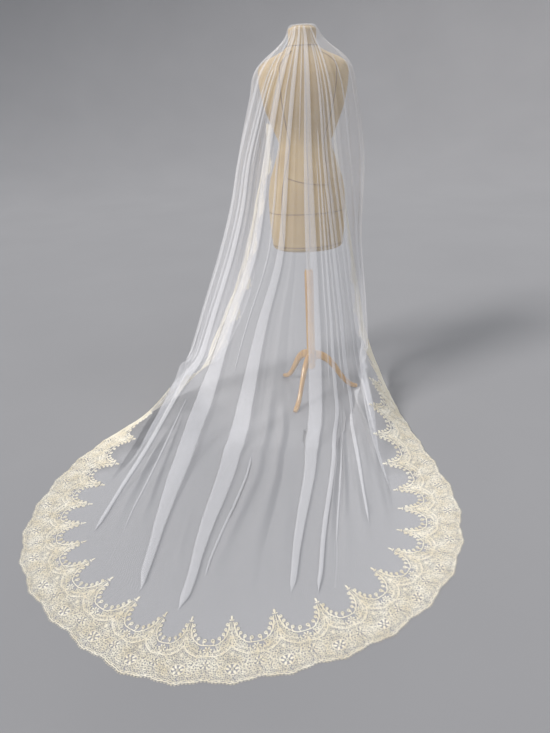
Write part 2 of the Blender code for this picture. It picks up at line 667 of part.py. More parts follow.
def lace(name, mesh, stations, finish):
    """One stretch of the border, its wall moved out from the tulle's own points."""
    middle = np.array(mesh.points)
    normal = mesh.normals()
    low = CLOTH / 2 + SEAM_GAP
    bottom, top = middle + normal * low, middle + normal * (low + CLOTH)
    patterns = [(facet, *facet_pattern(facet)) for facet in LACE_FACETS]
    points = {}
    faces = []
    for a, b in zip(stations, stations[1:]):
        peak, valley = (a, b) if a.is_peak else (b, a)
        places = {"peak outer": peak.outer, "peak middle": peak.middle, "peak inner": peak.inner,
                  "valley outer": valley.outer, "valley middle": valley.middle}
        for facet, shares, pattern in patterns:
            corners = [places[corner] for corner in facet.corners]
            found = []
            for share in shares:
                low_point = share @ bottom[corners]
                key = tuple(np.round(low_point, 5))
                found.append(points.setdefault(key, (len(points), low_point, share @ top[corners]))[0])
            for face in pattern:
                ordered = face if a.is_peak else face[::-1]
                faces.append(tuple(found[i] for i in ordered))
    kept = sorted(points.values(), key=lambda entry: entry[0])
    lows = np.array([entry[1] for entry in kept])
    highs = np.array([entry[2] for entry in kept])
    mesh_object(name, *closed_wall(highs, lows, faces), finish, smooth=False)


def closed_wall(outer, inner, faces):
    """Points and faces of the closed body between two like surfaces."""
    count = len(outer)
    every = list(faces) + [tuple(c + count for c in reversed(face)) for face in faces]
    edges = {(a, b) for face in faces for a, b in zip(face, face[1:] + face[:1])}
    every += [(b, a, a + count, b + count) for a, b in edges if (b, a) not in edges]
    return np.concatenate((outer, inner)), every


def centre_on_floor():
    """Parents every piece to an empty, moved so that the whole box stands centred on the origin."""
    pieces = list(bpy.data.objects)
    corners = np.array([v.co for piece in pieces for v in piece.data.vertices])
    middle = (corners.min(axis=0) + corners.max(axis=0)) / 2
    stand = bpy.data.objects.new("stand_axis", None)
    bpy.context.collection.objects.link(stand)
    stand.location = (-middle[0], -middle[1], -corners[:, 2].min())
    for piece in pieces:
        piece.parent = stand


def main():
    clear_objects()
    net = material("white_tulle", (.86, .86, .87), .6)
    ivory = material("ivory_lace", (.80, .77, .68), .7)
    cover = material("cream_cover", (.62, .50, .34), .8)
    wood = material("varnished_wood", (.55, .29, .11), .4)
    steel = material("grey_rod", (.55, .53, .50), .35)
    dress_form(cover, wood, steel)
    mesh, stations = tulle(Drape(), net)
    half = len(stations) // 2
    lace("lace_border_left", mesh, stations[:half + 1], ivory)
    lace("lace_border_right", mesh, stations[half:], ivory)
    centre_on_floor()


main()
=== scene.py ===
"""A cathedral bridal veil with a lace border on a dress form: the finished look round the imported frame.

The sizes are in metres about the stand's axis, with the floor at z = 0: +X is the right-hand side seen
from behind the form, and -Y is behind it, where the train lies.
"""
import math
from collections import namedtuple

import bmesh
import bpy
import numpy as np
from mathutils import Matrix, Vector


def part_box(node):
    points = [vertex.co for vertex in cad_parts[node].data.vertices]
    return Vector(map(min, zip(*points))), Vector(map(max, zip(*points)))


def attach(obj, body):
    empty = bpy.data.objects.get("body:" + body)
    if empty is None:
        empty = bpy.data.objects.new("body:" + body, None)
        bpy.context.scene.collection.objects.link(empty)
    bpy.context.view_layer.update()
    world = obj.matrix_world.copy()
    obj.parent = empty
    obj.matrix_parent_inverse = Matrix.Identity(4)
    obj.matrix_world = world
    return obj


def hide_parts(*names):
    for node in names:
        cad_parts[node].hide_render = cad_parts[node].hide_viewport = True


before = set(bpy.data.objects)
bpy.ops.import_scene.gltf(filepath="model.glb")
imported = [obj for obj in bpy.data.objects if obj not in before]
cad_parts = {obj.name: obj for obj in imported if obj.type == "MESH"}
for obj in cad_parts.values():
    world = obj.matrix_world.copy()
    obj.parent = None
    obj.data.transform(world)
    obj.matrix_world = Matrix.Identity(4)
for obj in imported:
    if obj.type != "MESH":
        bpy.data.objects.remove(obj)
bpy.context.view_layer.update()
pole_low, pole_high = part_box("form_pole")
AXIS = np.array(((pole_low.x + pole_high.x) / 2, (pole_low.y + pole_high.y) / 2, 0))

# Cloth: u is measured across it, and v down it in sections from the top
CLOTH = .0015               # wall of the solid that the tulle stands in the middle of
LACE_WIDTH = .23
SCALLOP = .005              # how far the lace's outer edge waves in and out, each way
LACE_HEM_REPEATS = 27
LACE_SIDE_REPEATS = 8       # down each front edge
LACE_TOP_V = 4.5            # where the lace starts on the front edges
REPEAT = .12                # width that one lace repeat is drawn at, which is its width at the peaks' tips
OUTER_REPEAT = .16          # and its width at the outer edge, where the hem is longer
HEM_REPEATS = 36            # the solid's lace repeats round the hem, which space the sheet's columns
SIDE_REPEATS = 11           # and down each front edge, which space its rows
COLUMNS_EACH = 6            # columns for each of those repeats
ROWS_EACH = 5               # and rows for each row of the solid
BARE_V = (0, 1, 1.9, 2.8, 3.65)     # the solid's rows above the lace
BACK_ROWS_LAID = 11
BORDER_STEPS = 8            # across the border
SIDE_TURN = .6              # how soon the rows leave the front edges' spacing for the back's

# The dress form
CAP_THICK = .004
CAP_RADIUS = .043
NECK_TOP = 1.660
NECK_ROUND = .014           # rounding of the neck's upper edge
SEAM_GAP = .0003
POLE_RADIUS = .021
LEG_ANGLES = (5, 125, 245)

Section = namedtuple("Section", "back left right line_left line_right edge_left edge_right")
# One row for each height of the hanging cloth, as in the solid but lower at the shoulders
SECTIONS = tuple(Section(*row) for row in (
    ((0, .030, 1.6651), (-.020, .034, 1.6651), (.020, .034, 1.6651),
     (-.030, .037, 1.6651), (.030, .037, 1.6651), (-.038, .038, 1.6651), (.038, .038, 1.6651)),
    ((0, -.053, 1.6651), (-.053, .000, 1.6651), (.053, .000, 1.6651),
     (-.047, .034, 1.6651), (.047, .034, 1.6651), (-.042, .052, 1.6651), (.042, .052, 1.6651)),
    ((0, -.078, 1.615), (-.084, -.004, 1.607), (.094, -.004, 1.610),
     (-.082, .048, 1.600), (.086, .048, 1.600), (-.074, .080, 1.600), (.076, .080, 1.600)),
    ((0, -.130, 1.522), (-.196, -.012, 1.512), (.192, -.012, 1.524),
     (-.140, .100, 1.530), (.140, .100, 1.530), (-.110, .150, 1.530), (.110, .150, 1.530)),
    ((0, -.155, 1.400), (-.229, .000, 1.400), (.224, .000, 1.400),
     (-.142, .150, 1.400), (.142, .150, 1.400), (-.150, .270, 1.400), (.150, .270, 1.400)),
    ((0, -.172, 1.180), (-.294, .000, 1.180), (.253, .000, 1.180),
     (-.136, .130, 1.180), (.136, .130, 1.180), (-.172, .338, 1.180), (.176, .338, 1.180)),
    ((0, -.195, .980), (-.342, .000, .980), (.252, .000, .980),
     (-.178, .136, .980), (.172, .136, .980), (-.222, .344, .980), (.208, .344, .980)),
    ((0, -.225, .780), (-.408, .000, .780), (.247, .000, .780),
     (-.226, .110, .780), (.196, .130, .780), (-.276, .318, .780), (.238, .342, .780)),
    ((-.005, -.275, .520), (-.510, .000, .520), (.268, .000, .520),
     (-.292, .080, .520), (.214, .100, .520), (-.366, .284, .520), (.276, .308, .520)),
    ((-.015, -.335, .300), (-.588, -.020, .320), (.278, .000, .310),
     (-.405, .020, .300), (.236, .070, .310), (-.500, .205, .255), (.312, .255, .255)),
    ((-.025, -.405, .120), (-.622, -.100, .255), (.260, -.055, .265),
     (-.480, -.035, .215), (.256, .035, .260), (-.575, .150, .110), (.346, .170, .120)),
    ((-.040, -.520, CLOTH / 2), (-.632, -.200, .205), (.222, -.140, .228),
     (-.575, -.062, .205), (.264, -.020, .225), (-.662, .090, .040), (.372, .088, .045)),
))
TOUCH = len(SECTIONS) - 1
LAID = TOUCH + 3
LIFT_LEFT = .195            # height of the lace line at the two front corners of the hem
LIFT_RIGHT = .20
LIFT_SHARE = .19            # of the hem that it comes down over
LIFT_EDGE = .02             # of that height that the outer edge has
# The hem's outer edge on the floor, from the left front corner round the train to the right one
HEM_OUTLINE = (
    (-.720, .005), (-.860, -.190), (-1.005, -.390), (-1.110, -.610), (-1.155, -.850), (-1.130, -1.070),
    (-1.035, -1.265), (-.860, -1.450), (-.640, -1.605), (-.420, -1.648), (-.180, -1.625), (.060, -1.550),
    (.260, -1.405), (.400, -1.210), (.462, -.970), (.455, -.760), (.425, -.530), (.398, -.290),
    (.389, -.060),
)

Pleat = namedtuple("Pleat", "shoulder waist seat calf floor end_x end_y at_first at_seat at_floor at_last "
                   "first last bent_at")
# Where each wide pleat lies across the back in PLEAT_SECTIONS and where it ends on the lace line, its width
# where it starts, at the seat, on the floor and where it ends, the v between which it is open, and the v
# from which it runs straight in the photograph
PLEATS = tuple(Pleat(*row) for row in (
    (-.110, -.240, -.345, -.505, -.612, -.915, -1.000, .006, .022, .055, .014, 3.0, 13.9, 9),
    (-.075, -.165, -.250, -.400, -.510, -.690, -1.370, .006, .034, .100, .010, 1.1, 14, 7),
    (-.035, -.085, -.130, -.235, -.350, -.520, -1.425, .006, .026, .090, .010, 1.1, 14, 7),
    (-.002, -.002, .001, -.004, -.038, -.118, -1.420, .006, .048, .058, .008, 1.1, 13.9, 10),
    (.020, .030, .036, .050, .055, -.050, -1.400, .004, .010, .024, .012, 4.5, 14, 10),
    (.035, .055, .075, .110, .130, .095, -1.220, .004, .016, .026, .008, 2.2, 13.4, 9),
    (.060, .092, .145, .200, .190, .175, -.980, .005, .020, .026, .008, 1.2, 12.8, 9),
))
FinePleat = namedtuple("FinePleat", "u at_seat first last")
# Narrow pleats between them, by thread line, widest width and where in v each starts and ends
FINE_PLEATS = tuple(FinePleat(*row) for row in (
    (.035, .016, 3.0, 11.6), (.062, .022, 2.0, 12.4), (.088, .014, 4.2, 10.2),
    (.112, .026, 1.6, 12.8), (.142, .018, 3.4, 11.4), (.170, .020, 1.8, 12.9),
    (.196, .014, 5.0, 13.2), (.232, .024, 1.5, 11.2), (.276, .012, 2.4, 9.6),
    (.310, .010, 1.4, 5.2), (.352, .012, 10.8, 13.5), (.402, .007, 1.2, 4.4),
    (.432, .010, 2.0, 9.2), (.470, .012, 11.2, 13.6), (.535, .007, 1.5, 4.8),
    (.585, .010, 5.0, 9.6), (.618, .013, 10.9, 13.4), (.662, .011, 5.6, 9.8),
    (.702, .012, 2.2, 9.0), (.752, .014, 1.6, 12.2), (.806, .018, 2.6, 12.0),
    (.842, .014, 1.6, 11.0), (.880, .020, 3.2, 12.6), (.914, .014, 2.0, 11.2),
    (.950, .018, 3.4, 11.6),
))
PLEAT_SECTIONS = (3, 5, 7, 9, TOUCH)
SEAT_V, FLOOR_V, NEAR_END_V = 7, 11, 13.1   # where a wide pleat's widths at the seat and so on hold
NEAR_END = .55              # its width near its end, as a share of the two round it added together
WIDTH_BLEND = .7            # widths are averaged over this much of v each way
FINE_ENDS = .25             # share of its width that a narrow pleat has at both ends
ENDS_OVER = .2              # both kinds close over this much of v
PLEAT_CLOSED = .0008        # and are closed where they are no wider than this
PLEAT_RISE = .005
FINE_RISE = .55             # of a wide pleat's rise
PLEAT_SWAY = .10            # how much a pleat's two edges wander, as a share of its width
SWAY_RIGHT, SWAY_LEFT = 1.1, 1.4    # and how fast, in radians for each unit of v
# A laid-over pleat in section, across in its widths and out in PLEAT_RISE; small steps at each turn crowd
# the cloth there, so that a fold's edge shows denser than the rest
PLEAT_PROFILE = (
    (-.62, 0), (0, .18), (.44, .34), (.49, .42), (.46, .50), (.50, .58), (.46, .68), (.49, .76), (.42, .84),
    (0, 1.02), (-.42, 1.20), (-.49, 1.28), (-.46, 1.36), (-.50, 1.44), (-.46, 1.52), (-.49, 1.58),
    (-.42, 1.62), (0, 1.62), (.46, 1.54), (.60, 1.10), (.68, .48), (.78, 0),
)
FINE_PROFILE = ((-.62, 0), (0, .2), (.44, .36), (.50, .56), (.42, .76), (-.42, 1.2), (-.50, 1.40),
                (-.42, 1.56), (.46, 1.5), (.78, 0))
LAID_OVER = (.04, .12)      # a pleat turns from a ridge to laid over between these shares of its seat width
RIDGE_WIDTH = 1.2           # of that ridge, in pleat widths
PLEAT_ROOM_LEFT = .66       # how far a pleat moves the cloth beside it, in its widths
PLEAT_ROOM_RIGHT = .80
ROOM_FADES = 3

SIDE_SHARE = .2             # of the way round a section, from the lace line to the side
QUARTER = 24                # points for each quarter of a section
BULGE = 2.1                 # 2 is an ellipse, and more is squarer
SOFT_BEND = .45             # the bend at the floor is rounded over this much of v
BACK_TURN = 1.1             # where on a quarter the cloth has come to the height of the middle of the back
GRID_STEPS = 20
GRID_V = np.arange(LAID * GRID_STEPS + 1) / GRID_STEPS
GRID_T = np.linspace(0, 1, 241)
NEAR_T = .004               # steps that the cloth's directions are measured over
NEAR_V = .05

Crease = namedtuple("Crease", "u width height start end drift")
# Soft ridges that run down the cloth, between the pleats: the thread line, the half width in u, the
# height in units of 1 / CREASE_RISE, where in v it starts and ends, and how far in u it drifts on the way
CREASE_RISE = 2.6
GATHER_HEIGHT = .007        # of the broad hanging gathers
RIPPLE_HEIGHT = .0022       # and of the small ripples on them and on the floor
EDGE_CALM = .05             # gathers and creases fade over this much of u at each front edge
CREASES = tuple(Crease(*row) for row in (
    (.075, .008, .008, 9.8, 12.2, .004), (.128, .008, .010, 9.4, 13.0, -.004),
    (.160, .007, .011, 9.4, 13.0, .010), (.216, .008, .012, 9.5, 13.4, .006),
    (.262, .009, .012, 9.0, 13.3, .006), (.300, .008, .009, 9.6, 13.4, .004),
    (.335, .008, .010, 9.0, 13.6, -.006), (.375, .007, .012, 9.4, 13.5, .006),
    (.405, .008, .011, 9.6, 13.4, .008), (.440, .007, .012, 9.0, 13.6, -.006),
    (.490, .008, .009, 9.2, 13.5, -.004), (.520, .007, .010, 9.4, 13.4, .006),
    (.560, .008, .011, 9.8, 13.4, .006), (.600, .007, .009, 9.5, 13.5, .004),
    (.640, .007, .010, 9.4, 13.2, -.008), (.680, .008, .008, 9.8, 13.2, -.004),
    (.725, .007, .010, 9.6, 13.0, .006), (.780, .008, .009, 9.4, 13.0, .006),
    (.830, .007, .010, 9.6, 12.8, -.006), (.896, .007, .010, 9.4, 12.6, .008),
))

TorsoRing = namedtuple("TorsoRing", "z half_width half_depth")
TORSO_RINGS = tuple(TorsoRing(*row) for row in (
    (.763, .150, .104), (.778, .161, .112), (.850, .1685, .117),
    (1.000, .1715, .117), (1.070, .161, .112), (1.130, .1415, .104),
    (1.180, .1245, .097), (1.225, .1155, .094), (1.270, .1325, .098),
    (1.310, .1485, .106), (1.360, .1675, .116), (1.430, .183, .120),
    (1.490, .189, .112), (1.525, .182, .096), (1.548, .150, .080),
    (1.565, .108, .068), (1.582, .075, .061), (1.602, .059, .0575),
    (NECK_TOP, .0575, .0575),
))
LegRing = namedtuple("LegRing", "reach z half_width half_height tilt")
LEG_RINGS = tuple(LegRing(*row) for row in (
    (POLE_RADIUS, .205, .011, .026, 0), (.050, .200, .012, .021, -22),
    (.085, .176, .012, .018, -42), (.115, .140, .011, .0155, -55),
    (.140, .100, .010, .0135, -58), (.166, .060, .010, .0125, -55),
    (.194, .028, .011, .012, -35), (.222, .0110, .012, .0112, 0),
    (.240, .0078, .010, .0080, 0),
))

VIEWPOINT = np.array((-.1875, -2.70, 1.424))
PITCH, ROLL = math.radians(25.2), math.atan(.0579)
FOCAL_LENGTH = 580          # both in the photograph's pixels
FRAME_HEIGHT = 733
SENSOR = 36


def make_camera():
    """The photograph's view: 25 degrees down, and turned a little about its own axis."""
    data = bpy.data.cameras.new("photo_view")
    camera = bpy.data.objects.new("photo_view", data)
    bpy.context.scene.collection.objects.link(camera)
    turn = Matrix.Rotation(math.radians(90) - PITCH, 4, "X") @ Matrix.Rotation(-ROLL, 4, "Z")
    camera.matrix_world = Matrix.Translation(Vector(VIEWPOINT + AXIS)) @ turn
    data.sensor_width = SENSOR
    data.lens = FOCAL_LENGTH / FRAME_HEIGHT * SENSOR
    bpy.context.scene.camera = camera


# Materials


TINT_RANGE = (.3, .7)       # of a noise's values, where most of them lie
NET_CELL = .0022            # of the tulle's net, along each thread direction
THREAD_SHARE = .035         # half of a thread's width in its cell
NET_ALPHA = (.17, .46)      # in a hole, which stands for the finer threads too, and on a thread


class Nodes:
    """A material's shader, with short ways to add to it; further inputs go by name."""

    def __init__(self, name, color, roughness, **inputs):
        self.material = bpy.data.materials.new(name)
        self.material.use_nodes = True
        self.tree = self.material.node_tree
        self.shader = self.tree.nodes["Principled BSDF"]
        self.shader.inputs["Base Color"].default_value = (*color, 1)
        self.shader.inputs["Roughness"].default_value = roughness
        for key, value in inputs.items():
            self.shader.inputs[key.replace("_", " ")].default_value = value

    def add(self, kind, links=(), **values):
        """A node with its sockets set by name, and its inputs linked from other sockets."""
        node = self.tree.nodes.new(kind)
        for name, value in values.items():
            if name in node.bl_rna.properties:
                setattr(node, name, value)
            else:
                node.inputs[name.replace("_", " ")].default_value = value
        for name, socket in links:
            self.tree.links.new(socket, node.inputs[name])
        return node

    def noise(self, scale, detail, stretch=None):
        """A noise in the object's own measures."""
        place = self.tree.nodes.new("ShaderNodeTexCoord").outputs["Object"]
        if stretch:
            place = self.add("ShaderNodeVectorMath", ((0, place),), operation="MULTIPLY")
            place.inputs[1].default_value = stretch
            place = place.outputs[0]
        node = self.add("ShaderNodeTexNoise", (("Vector", place),), Scale=scale, Detail=detail)
        return node.outputs["Fac"]

    def tint(self, factor, low, high):
        """The base colour runs from low to high with a factor."""
        ramp = self.add("ShaderNodeValToRGB", (("Fac", factor),))
        for element, color, position in zip(ramp.color_ramp.elements, (low, high), TINT_RANGE):
            element.color = (*color, 1)
            element.position = position
        self.tree.links.new(ramp.outputs["Color"], self.shader.inputs["Base Color"])

    def bump(self, height, strength, distance):
        node = self.add("ShaderNodeBump", (("Height", height),), Strength=strength, Distance=distance)
        self.tree.links.new(node.outputs["Normal"], self.shader.inputs["Normal"])


def net_material():
    """White net: threads in three directions, by the cloth's own lengthwise and crosswise measures."""
    m = Nodes("white_net", (.84, .84, .87), .5, Sheen_Weight=.35, Sheen_Roughness=.4)
    uv = m.tree.nodes.new("ShaderNodeTexCoord").outputs["UV"]
    threads = None
    for angle in (0, 60, 120):
        along = m.add("ShaderNodeVectorMath", ((0, uv),), operation="DOT_PRODUCT")
        turn = math.radians(angle)
        along.inputs[1].default_value = (math.cos(turn) / NET_CELL, math.sin(turn) / NET_CELL, 0)
        cell = m.add("ShaderNodeMath", ((0, along.outputs["Value"]),), operation="PINGPONG")
        cell.inputs[1].default_value = .5
        thread = m.add("ShaderNodeMath", ((0, cell.outputs[0]),), operation="LESS_THAN")
        thread.inputs[1].default_value = THREAD_SHARE
        if threads is None:
            threads = thread.outputs[0]
            continue
        either = m.add("ShaderNodeMath", ((0, threads), (1, thread.outputs[0])), operation="MAXIMUM")
        threads = either.outputs[0]
    cover = m.add("ShaderNodeMapRange", (("Value", threads),))
    cover.inputs["To Min"].default_value, cover.inputs["To Max"].default_value = NET_ALPHA
    m.tree.links.new(cover.outputs["Result"], m.shader.inputs["Alpha"])
    m.bump(threads, .4, .0003)
    return m.material


def lace_material():
    """Ivory cotton: a twisted cord, a little warmer in places."""
    m = Nodes("ivory_cord", (.80, .76, .66), .62, Sheen_Weight=.3)
    m.tint(m.noise(22, 2), (.66, .59, .45), (.80, .76, .66))
    m.bump(m.noise(1400, 2), .5, .0006)
    return m.material


def cover_material():
    """A closely woven cream cover, a little soiled."""
    m = Nodes("cream_weave", (.44, .31, .16), .85, Sheen_Weight=.2)
    m.tint(m.noise(7, 4), (.43, .295, .12), (.54, .395, .19))
    m.bump(m.noise(900, 2), .35, .0005)
    return m.material


def thread_material():
    m = Nodes("brown_thread", (.20, .12, .06), .8)
    m.tint(m.noise(300, 2), (.15, .09, .04), (.26, .17, .09))
    return m.material


def wood_material():
    m = Nodes("orange_wood", (.50, .22, .05), .32, Coat_Weight=.35, Coat_Roughness=.2)
    grain = m.noise(22, 5, (3, 3, .35))
    m.tint(grain, (.40, .19, .035), (.62, .37, .10))
    m.bump(grain, .25, .0008)
    return m.material


def steel_material():
    m = Nodes("grey_steel", (.50, .48, .45), .35, Metallic=1)
    m.tint(m.noise(60, 3, (1, 1, .1)), (.42, .40, .37), (.60, .58, .55))
    return m.material


def floor_material():
    m = Nodes("pale_floor", (.24, .24, .25), .9)
    m.tint(m.noise(1.2, 2), (.235, .235, .245), (.245, .245, .255))
    return m.material


# Mesh helpers


def piece(name, points, faces, finish, slot, replaced=(), uv=None):
    """A new object on the root body, in place of CAD nodes."""
    mesh = bpy.data.meshes.new(name)
    places = np.asarray(points, float) + AXIS
    mesh.from_pydata(places.tolist(), [], faces)
    mesh.materials.append(finish)
    if uv is not None:
        layer = mesh.uv_layers.new(name="cloth")
        corners = np.zeros(len(mesh.loops), int)
        mesh.loops.foreach_get("vertex_index", corners)
        layer.data.foreach_set("uv", np.asarray(uv, np.float32)[corners].ravel())
    mesh.shade_smooth()
    obj = bpy.data.objects.new(name, mesh)
    bpy.context.scene.collection.objects.link(obj)
    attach(obj, "root")
    if replaced:
        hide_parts(*replaced)
    return obj


def loft(rings, closed_ends=True):
    """Points and faces of rings of equal counts; rings turn anticlockwise."""
    sides = len(rings[0])
    points = [p for ring in rings for p in ring]
    faces = []
    for r in range(len(rings) - 1):
        for s in range(sides):
            after = (s + 1) % sides
            faces.append((r * sides + s, r * sides + after, (r + 1) * sides + after, (r + 1) * sides + s))
    if closed_ends:
        faces.append(tuple(reversed(range(sides))))
        faces.append(tuple(range((len(rings) - 1) * sides, len(rings) * sides)))
    return points, faces


def through(points, each):
    """A smooth line through the points, with as many steps between each two."""
    return spline(points, np.linspace(0, len(points) - 1, (len(points) - 1) * each + 1))


def tube(path, radius, sides):
    """A round cord along a line of points."""
    path = np.asarray(path, float)
    along = np.gradient(path, axis=0)
    along /= np.linalg.norm(along, axis=1)[:, None]
    side = np.cross(along, (0, 0, 1.0))
    side[np.linalg.norm(side, axis=1) < 1e-6] = (1, 0, 0)
    side /= np.linalg.norm(side, axis=1)[:, None]
    up = np.cross(side, along)
    rings = []
    for centre, a, b in zip(path, side, up):
        turns = [2 * math.pi * s / sides for s in range(sides)]
        rings.append([centre + radius * (a * math.cos(t) + b * math.sin(t)) for t in turns])
    return loft(rings)


def gather(parts):
    """Several (points, faces) joined into one."""
    points, faces = [], []
    for new_points, new_faces in parts:
        start = len(points)
        points.extend(new_points)
        faces.extend(tuple(i + start for i in face) for face in new_faces)
    return points, faces


def rework(obj, change):
    """Makes one change to a piece's mesh."""
    work = bmesh.new()
    work.from_mesh(obj.data)
    change(work)
    work.to_mesh(obj.data)
    work.free()
    obj.data.shade_smooth()


def spline(values, t):
    """A smooth curve through the values, where t is 0 at the first and 1 at the next."""
    values = np.asarray(values, float)
    t = np.clip(np.atleast_1d(np.asarray(t, float)), 0, len(values) - 1)
    k = np.minimum(t.astype(int), len(values) - 2)
    f = (t - k).reshape(t.shape + (1,) * (values.ndim - 1))
    before = values[np.maximum(k - 1, 0)]
    start, end = values[k], values[k + 1]
    after = values[np.minimum(k + 2, len(values) - 1)]
    return .5 * (2 * start + (end - before) * f + (2 * before - 5 * start + 4 * end - after) * f**2
                 + (3 * start - before - 3 * end + after) * f**3)


def ease(low, high, x):
    """0 up to low and 1 from high on, with a smooth step between."""
    f = np.clip((np.asarray(x, float) - low) / (high - low), 0, 1)
    return f * f * (3 - 2 * f)


def between(x, known, points):
    """Points at x on a line that runs through points at the known values."""
    return np.stack([np.interp(x, known, column) for column in points.T], axis=1)


def distances(points):
    """How far along a line each of its points lies."""
    return np.concatenate(([0], np.cumsum(np.linalg.norm(np.diff(points, axis=0), axis=1))))


def spread(points, count):
    """Evenly spaced points along a line."""
    far = distances(points)
    return between(np.linspace(0, far[-1], count), far, points)


# The drape, as in the solid


def quarter(side, middle):
    """A quarter of a section, from the side round to the middle of the back."""
    turn = np.linspace(0, math.pi / 2, QUARTER)
    x = middle[0] + (side[0] - middle[0]) * np.cos(turn) ** (2 / BULGE)
    y = side[1] + (middle[1] - side[1]) * np.sin(turn) ** (2 / BULGE)
    z = side[2] + (middle[2] - side[2]) * ease(0, BACK_TURN, turn)
    return np.stack((x, y, z), axis=1)


def flank(line, side):
    """A quarter of a section, from the lace line at the front back to the side."""
    reach = side[1] - line[1]
    first = line + np.array((0, .15 * reach, 0)) + .45 * (side - line) * np.array((1, 0, 1))
    second = side - np.array((0, .55 * reach, 0))
    f = np.linspace(0, 1, QUARTER)[:, None]
    return (1 - f)**3 * line + 3 * (1 - f)**2 * f * first + 3 * (1 - f) * f * f * second + f**3 * side


class Drape:
    """The sheet's form: u runs from the left lace line round to the right, v down and out."""

    def __init__(self):
        self.table = np.array(SECTIONS, float)
        outline = spline(HEM_OUTLINE, np.linspace(0, len(HEM_OUTLINE) - 1, 400))
        self.hem = spread(outline, 4 * HEM_REPEATS + 1)
        along = np.gradient(self.hem, axis=0)
        inward = np.stack((-along[:, 1], along[:, 0]), axis=1)
        self.inward = inward / np.linalg.norm(inward, axis=1)[:, None]
        self.line_u = np.linspace(0, 1, len(self.hem))
        lift = (LIFT_LEFT * (1 - ease(0, LIFT_SHARE, self.line_u))
                + LIFT_RIGHT * ease(1 - LIFT_SHARE, 1, self.line_u))
        reach = np.sqrt(LACE_WIDTH**2 - lift**2)[:, None]
        self.line = np.column_stack((self.hem + reach * self.inward, CLOTH / 2 + lift))
        self.grid = self.softened(np.stack([self.row(v) for v in GRID_V]))
        self.pleat_u = [self.nearest_u(p.end_x, p.end_y) for p in PLEATS]
        self.pleat_t = [self.track(p, u) for p, u in zip(PLEATS, self.pleat_u)]
        self.folds = [*zip(self.pleat_u, PLEATS), *((p.u, p) for p in FINE_PLEATS)]
        self.opened = []
        for pleat, marks in zip(PLEATS, self.pleat_t):
            self.keep_open(pleat, spline(marks, GRID_V))
        wide = list(self.opened)
        for pleat in FINE_PLEATS:
            u = np.full(len(GRID_V), pleat.u)
            self.keep_open(pleat, self.measure(u, GRID_V, opened=wide))

    def nearest_u(self, x, y):
        """The u nearest to a place on the lace line, between two of the solid's repeats."""
        gap = np.hypot(self.line[:, 0] - x, self.line[:, 1] - y)
        return (math.floor(self.line_u[int(np.argmin(gap))] * HEM_REPEATS) + .5) / HEM_REPEATS

    def section(self, v):
        """The points round one level of the hanging cloth, and how far round each lies, from 0 to 1."""
        row = dict(zip(Section._fields, spline(self.table, v)[0]))
        parts = (flank(row["line_left"], row["left"]), quarter(row["left"], row["back"]),
                 quarter(row["right"], row["back"])[::-1], flank(row["line_right"], row["right"])[::-1])
        shares = (0, SIDE_SHARE, .5, 1 - SIDE_SHARE, 1)
        points, measures = [], []
        for part, low, high in zip(parts, shares, shares[1:]):
            points.append(spread(part, QUARTER))
            measures.append(np.linspace(low, high, QUARTER))
        return np.concatenate(points), np.concatenate(measures)

    def row(self, v):
        """One row of the form; beyond TOUCH it passes from the section at the floor to the lace line."""
        points, measures = self.section(min(v, TOUCH))
        held = between(GRID_T, measures, points)
        if v <= TOUCH:
            return held
        laid = between(GRID_T, self.line_u, self.line)
        share = (v - TOUCH) / (LAID - TOUCH)
        out = held + (laid - held) * share
        sag = 1 + ease(0, LIFT_SHARE, GRID_T) * ease(0, LIFT_SHARE, 1 - GRID_T)
        out[:, 2] = laid[:, 2] + (held[:, 2] - laid[:, 2]) * (1 - share)**sag
        return out

    def softened(self, grid):
        """The form with its bend at the floor rounded."""
        near = ease(TOUCH - 1.6, TOUCH - .6, GRID_V) * (1 - ease(TOUCH + .6, TOUCH + 1.6, GRID_V))
        soft = grid.copy()
        last = len(GRID_V) - 1
        for r in range(len(GRID_V)):
            reach = SOFT_BEND * near[r] * GRID_STEPS
            low, high = (grid_row(grid, np.clip(r + step, 0, last)) for step in (-reach, reach))
            soft[r] = (low + 2 * grid[r] + high) / 4
        return soft

    def track(self, pleat, end_u):
        """How far round a wide pleat lies at each whole v."""
        found = []
        for section, x in zip(PLEAT_SECTIONS, pleat[:len(PLEAT_SECTIONS)]):
            points, measures = self.section(section)
            behind = slice(QUARTER, 3 * QUARTER)
            found.append(np.interp(x, points[behind, 0], measures[behind]))
        stations = (0,) + PLEAT_SECTIONS + (LAID,)
        marks = np.interp(np.arange(LAID + 1), stations, (found[0], *found, end_u))
        return self.straightened(marks, pleat.bent_at)

    def straightened(self, marks, first):
        """The rest of a pleat's path moved into one plane through the photograph's viewpoint."""
        ends = self.at(marks[[first, LAID]], np.array([first, LAID])) - VIEWPOINT
        normal = np.cross(*ends)
        for v in range(first + 1, LAID):
            near = marks[v] + np.linspace(-.06, .06, 121)
            off = np.abs((self.at(near, np.full(len(near), v)) - VIEWPOINT) @ normal)
            marks[v] = near[int(np.argmin(off))]
        return marks

    def at(self, t, v):
        """Points of the form without its pleats and creases, for arrays of t and v."""
        row = np.clip(v, 0, LAID) * GRID_STEPS
        column = np.clip(t, 0, 1) * (len(GRID_T) - 1)
        r = np.minimum(row.astype(int), len(GRID_V) - 2)
        c = np.minimum(column.astype(int), len(GRID_T) - 2)
        down, across = (row - r)[:, None], (column - c)[:, None]
        g = self.grid
        above = g[r, c] + (g[r, c + 1] - g[r, c]) * across
        below = g[r + 1, c] + (g[r + 1, c + 1] - g[r + 1, c]) * across
        return above + (below - above) * down

